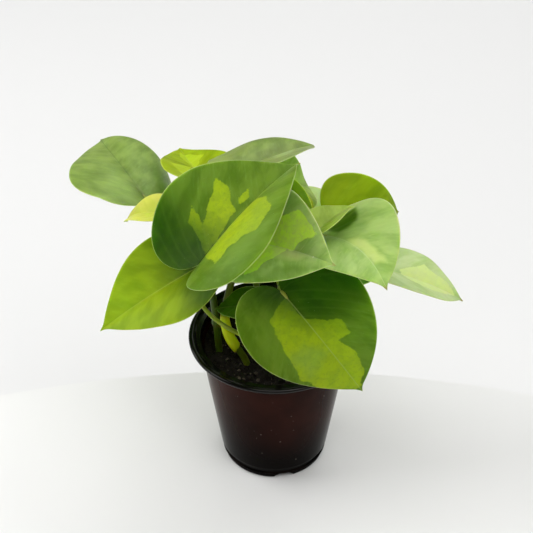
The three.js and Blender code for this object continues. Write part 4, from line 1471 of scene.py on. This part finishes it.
class POTHOS_OT_pot(bpy.types.Operator):
    """Builds the glossy nursery pot"""

    bl_idname = "pothos.pot"
    bl_label = "Nursery pot"

    def execute(self, context):
        settings = context.scene.pothos_pot
        points, faces = turned_mesh(pot_profile(), settings.sides)
        piece = make_piece("pot_moulded", points, faces, pot_material(settings))
        cutters = []
        for i in range(ARCH_COUNT):
            turn = 360 * i / ARCH_COUNT
            for width, height, angle in (
                    (ARCH_WIDTH, ARCH_HEIGHT, ARCH_ANGLE), (SLOT_WIDTH, SLOT_HEIGHT, SLOT_ANGLE)):
                shape, sides = arch_cutter(width, height, angle + turn)
                cutters.append(make_piece(f"cutter_{len(cutters)}", shape, sides, piece.data.materials[0]))
        cut_piece(piece, cutters)
        if len(piece.data.polygons) < len(faces) / 2:
            raise RuntimeError("the pot's arches were not cut")
        seat_piece(piece, "pot")
        piece.data.set_sharp_from_angle(angle=math.radians(38))
        return {"FINISHED"}


class POTHOS_OT_soil(bpy.types.Operator):
    """Builds the soil bed with its crumbs"""

    bl_idname = "pothos.soil"
    bl_label = "Soil"

    def execute(self, context):
        settings = context.scene.pothos_soil
        slack = WALL + 2 * GAP
        rim = wall_radius(SOIL_TOP) - slack
        bottom = CHANNEL_RISE + PLATE + GAP
        profile = [
            (0, bottom),
            (FOOT_RADIUS - slack, bottom),
            (FOOT_RADIUS - slack, FOOT_HEIGHT - FOOT_STEP),
            (WALL_FOOT_RADIUS - slack, FOOT_HEIGHT + 2 * FOOT_STEP),
            (rim, SOIL_TOP - 1.5),
            *[(rim * (1 - i / SOIL_RINGS), SOIL_TOP) for i in range(SOIL_RINGS + 1)],
        ]
        points, faces = turned_mesh(profile, SOIL_SIDES)
        top = points[:, 2] > SOIL_TOP - 0.5
        x, y = points[:, 0], points[:, 1]
        relief = sum(
            value_noise(x / size, y / size, SEED + 3) * share
            for size, share in SOIL_RELIEF_LAYERS)
        inner = np.clip((rim - np.hypot(x, y)) / 2, 0, 1)
        raised = soil_height(x, y) + relief * settings.roughness / MM * inner - SOIL_EDGE_DIP * (1 - inner)
        points[:, 2] = np.where(top, raised, points[:, 2])
        draw = np.random.default_rng(SEED)
        corners, sides = crumb_shape()
        parts, pale = [points], [np.zeros(len(points))]
        faces = list(faces)
        count = len(points)
        for _ in range(settings.crumbs):
            radius = (rim - 2) * math.sqrt(draw.uniform())
            angle = draw.uniform(0, 2 * math.pi)
            place = np.array([radius * math.cos(angle), radius * math.sin(angle), 0])
            size = CRUMB_SMALLEST + CRUMB_SPREAD * draw.uniform() ** 2
            place[2] = soil_height(place[0], place[1]) + size * CRUMB_PROUD
            crumb = crumb_points(draw, corners, place, size)
            kind = draw.uniform()
            parts.append(crumb)
            tone = draw.uniform(*(PALE_LEVELS if kind < PALE_SHARE else BROWN_LEVELS))
            pale.append(np.full(len(crumb), tone if kind < BROWN_SHARE else 0.0))
            faces += [tuple(corner + count for corner in side) for side in sides]
            count += len(crumb)
        piece = make_piece(
            "soil_bed", np.vstack(parts), faces, soil_material(), {"pale": np.concatenate(pale)})
        seat_piece(piece, "potting_soil")
        return {"FINISHED"}


class POTHOS_OT_stems(bpy.types.Operator):
    """Builds the vine stems with their nodes and sheath"""

    bl_idname = "pothos.stems"
    bl_label = "Vine stems"

    def execute(self, context):
        radius = context.scene.pothos_stems.radius / MM
        looks = {
            "stem_left": stem_material("vine_skin_dark_green", "2c4203", "58730f", "6b5636"),
            "stem_sheathed": stem_material("vine_skin_olive", "4a5c06", "6c7c14", "8c6e30"),
            "stem_green": stem_material("vine_skin_mid_green", "42580a", "748c1c", "75603a"),
        }
        for number, stem in enumerate(STEMS):
            path = curve_through(stem["path"], STEM_STEPS)
            share = np.linspace(0, 1, STEM_STEPS)
            length = np.sum(np.linalg.norm(np.diff(path, axis=0), axis=1))
            radii = np.full(STEM_STEPS, radius)
            scar = np.zeros(STEM_STEPS)
            for place in stem["nodes"]:
                away = (share - place) * length
                radii += NODE_SWELL * np.exp(-(away / NODE_SPREAD) ** 2)
                scar = np.maximum(scar, SCAR_LEVEL * np.exp(-((away + SCAR_DROP) / SCAR_HALF) ** 2))
            radii[-len(STEM_CAP):] *= np.array(STEM_CAP)
            points, faces, along, around = tube_mesh(path, radii, STEM_SIDES)
            marks = np.concatenate([np.repeat(scar, STEM_SIDES), [0, 0]])
            weave = np.stack([along * length, around * radius, np.full(len(along), number * 7.0)], 1)
            fresh = np.zeros(len(along))
            if "sheath" in stem:
                low, high = (round(part * (STEM_STEPS - 1)) for part in stem["sheath"])
                wrap = path[low:high + 1]
                fade = np.linspace(0, 1, len(wrap))
                wide = radius + SHEATH * np.sin(np.clip(fade * 4, 0, 1) * math.pi / 2) * (1 - 0.5 * fade ** 3)
                shell, sides, up, turn = tube_mesh(wrap, wide, STEM_SIDES)
                slant = np.exp(-(up / 0.12) ** 2) * np.cos(turn + 2.2) * SHEATH_SLANT
                shell[:, 2] += slant
                faces = faces + [tuple(corner + len(points) for corner in side) for side in sides]
                points = np.vstack([points, shell])
                dry = 0.7 * np.exp(-(up / 0.03) ** 2) + 0.5 * np.clip(up * 6 - 5, 0, 1)
                marks = np.concatenate([marks, dry])
                weave = np.vstack([weave, np.stack([up * 20, turn * 3, np.full(len(up), 50.0)], 1)])
                fresh = np.concatenate([fresh, np.ones(len(up))])
            piece = make_piece(
                stem["name"] + "_grown", points, faces, looks[stem["slot"]],
                {"scar": marks, "weave": weave, "wrap": fresh})
            seat_piece(piece, stem["name"])
        return {"FINISHED"}


class POTHOS_OT_leaves(bpy.types.Operator):
    """Builds every leaf with its stalk"""

    bl_idname = "pothos.leaves"
    bl_label = "Leaves"

    def execute(self, context):
        thickness = context.scene.pothos_leaves.thickness / MM
        for number, leaf in enumerate(LEAVES):
            leaf_piece(leaf, number, thickness)
        return {"FINISHED"}


class POTHOS_OT_stage(bpy.types.Operator):
    """Builds the plain floor, the soft studio light and the camera"""

    bl_idname = "pothos.stage"
    bl_label = "Stage"

    def execute(self, context):
        scene = context.scene
        settings = scene.pothos_stage
        table = make_piece("table_top", *turned_mesh(TABLE_PROFILE, TABLE_SIDES), matt_board(settings))
        table.location = [value * MM for value in TABLE_CENTRE]
        reach, low = BACKDROP_REACH, -BACKDROP_DROP
        paper = make_piece(
            "backdrop",
            [(-reach, -reach, low), (reach, -reach, low), (reach, reach, low), (-reach, reach, low)],
            [(0, 1, 2, 3)], backdrop_paper(settings), smooth=False)
        table.data.set_sharp_from_angle(angle=math.radians(30))
        scene.world = room_world(settings.room_light)
        for name, place, size, power in SOFTBOXES:
            data = bpy.data.lights.new(name, "AREA")
            data.shape = "SQUARE"
            data.size = size
            data.energy = getattr(settings, power)
            lamp = bpy.data.objects.new(name, data)
            lamp.location = place
            aim = np.array(SOFTBOX_AIM) - np.array(place)
            flat = math.hypot(aim[0], aim[1])
            lamp.rotation_euler = (math.atan2(flat, -aim[2]), 0, math.atan2(aim[1], aim[0]) - math.pi / 2)
            scene.collection.objects.link(lamp)
        camera = bpy.data.cameras.new("viewpoint")
        camera.sensor_width = CAMERA_SENSOR
        camera.lens = CAMERA_LENS
        eye = bpy.data.objects.new("viewpoint", camera)
        eye.location = [value * MM for value in CAMERA_PLACE]
        eye.rotation_euler = (math.radians(90 - CAMERA_TILT), 0, 0)
        scene.collection.objects.link(eye)
        scene.camera = eye
        scene.view_settings.view_transform = "Standard"
        return {"FINISHED"}


class POTHOS_PT_panel(bpy.types.Panel):
    """Lists the steps that build the plant"""

    bl_idname = "POTHOS_PT_panel"
    bl_label = "Potted Pothos"
    bl_space_type = "VIEW_3D"
    bl_region_type = "UI"
    bl_category = "Pothos"

    def draw(self, context):
        layout = self.layout
        for operator, settings in STEPS:
            layout.operator(operator.bl_idname)
            group = getattr(context.scene, settings)
            for key in group.bl_rna.properties.keys():
                if key not in ("rna_type", "name"):
                    layout.prop(group, key)


SETTINGS = (
    ("pothos_pot", PotSettings),
    ("pothos_soil", SoilSettings),
    ("pothos_stems", StemSettings),
    ("pothos_leaves", LeafSettings),
    ("pothos_stage", StageSettings),
)
STEPS = (
    (POTHOS_OT_pot, "pothos_pot"),
    (POTHOS_OT_soil, "pothos_soil"),
    (POTHOS_OT_stems, "pothos_stems"),
    (POTHOS_OT_leaves, "pothos_leaves"),
    (POTHOS_OT_stage, "pothos_stage"),
)


def register():
    """Registers the settings, the steps and the panel."""
    for name, group in SETTINGS:
        bpy.utils.register_class(group)
        setattr(bpy.types.Scene, name, bpy.props.PointerProperty(type=group))
    for operator, _ in STEPS:
        bpy.utils.register_class(operator)
    bpy.utils.register_class(POTHOS_PT_panel)


def unregister():
    """Takes back what register added."""
    bpy.utils.unregister_class(POTHOS_PT_panel)
    for operator, _ in reversed(STEPS):
        bpy.utils.unregister_class(operator)
    for name, group in reversed(SETTINGS):
        delattr(bpy.types.Scene, name)
        bpy.utils.unregister_class(group)


def main():
    register()
    bpy.ops.pothos.pot()
    bpy.ops.pothos.soil()
    bpy.ops.pothos.stems()
    bpy.ops.pothos.leaves()
    bpy.ops.pothos.stage()


if __name__ == "__main__":
    main()
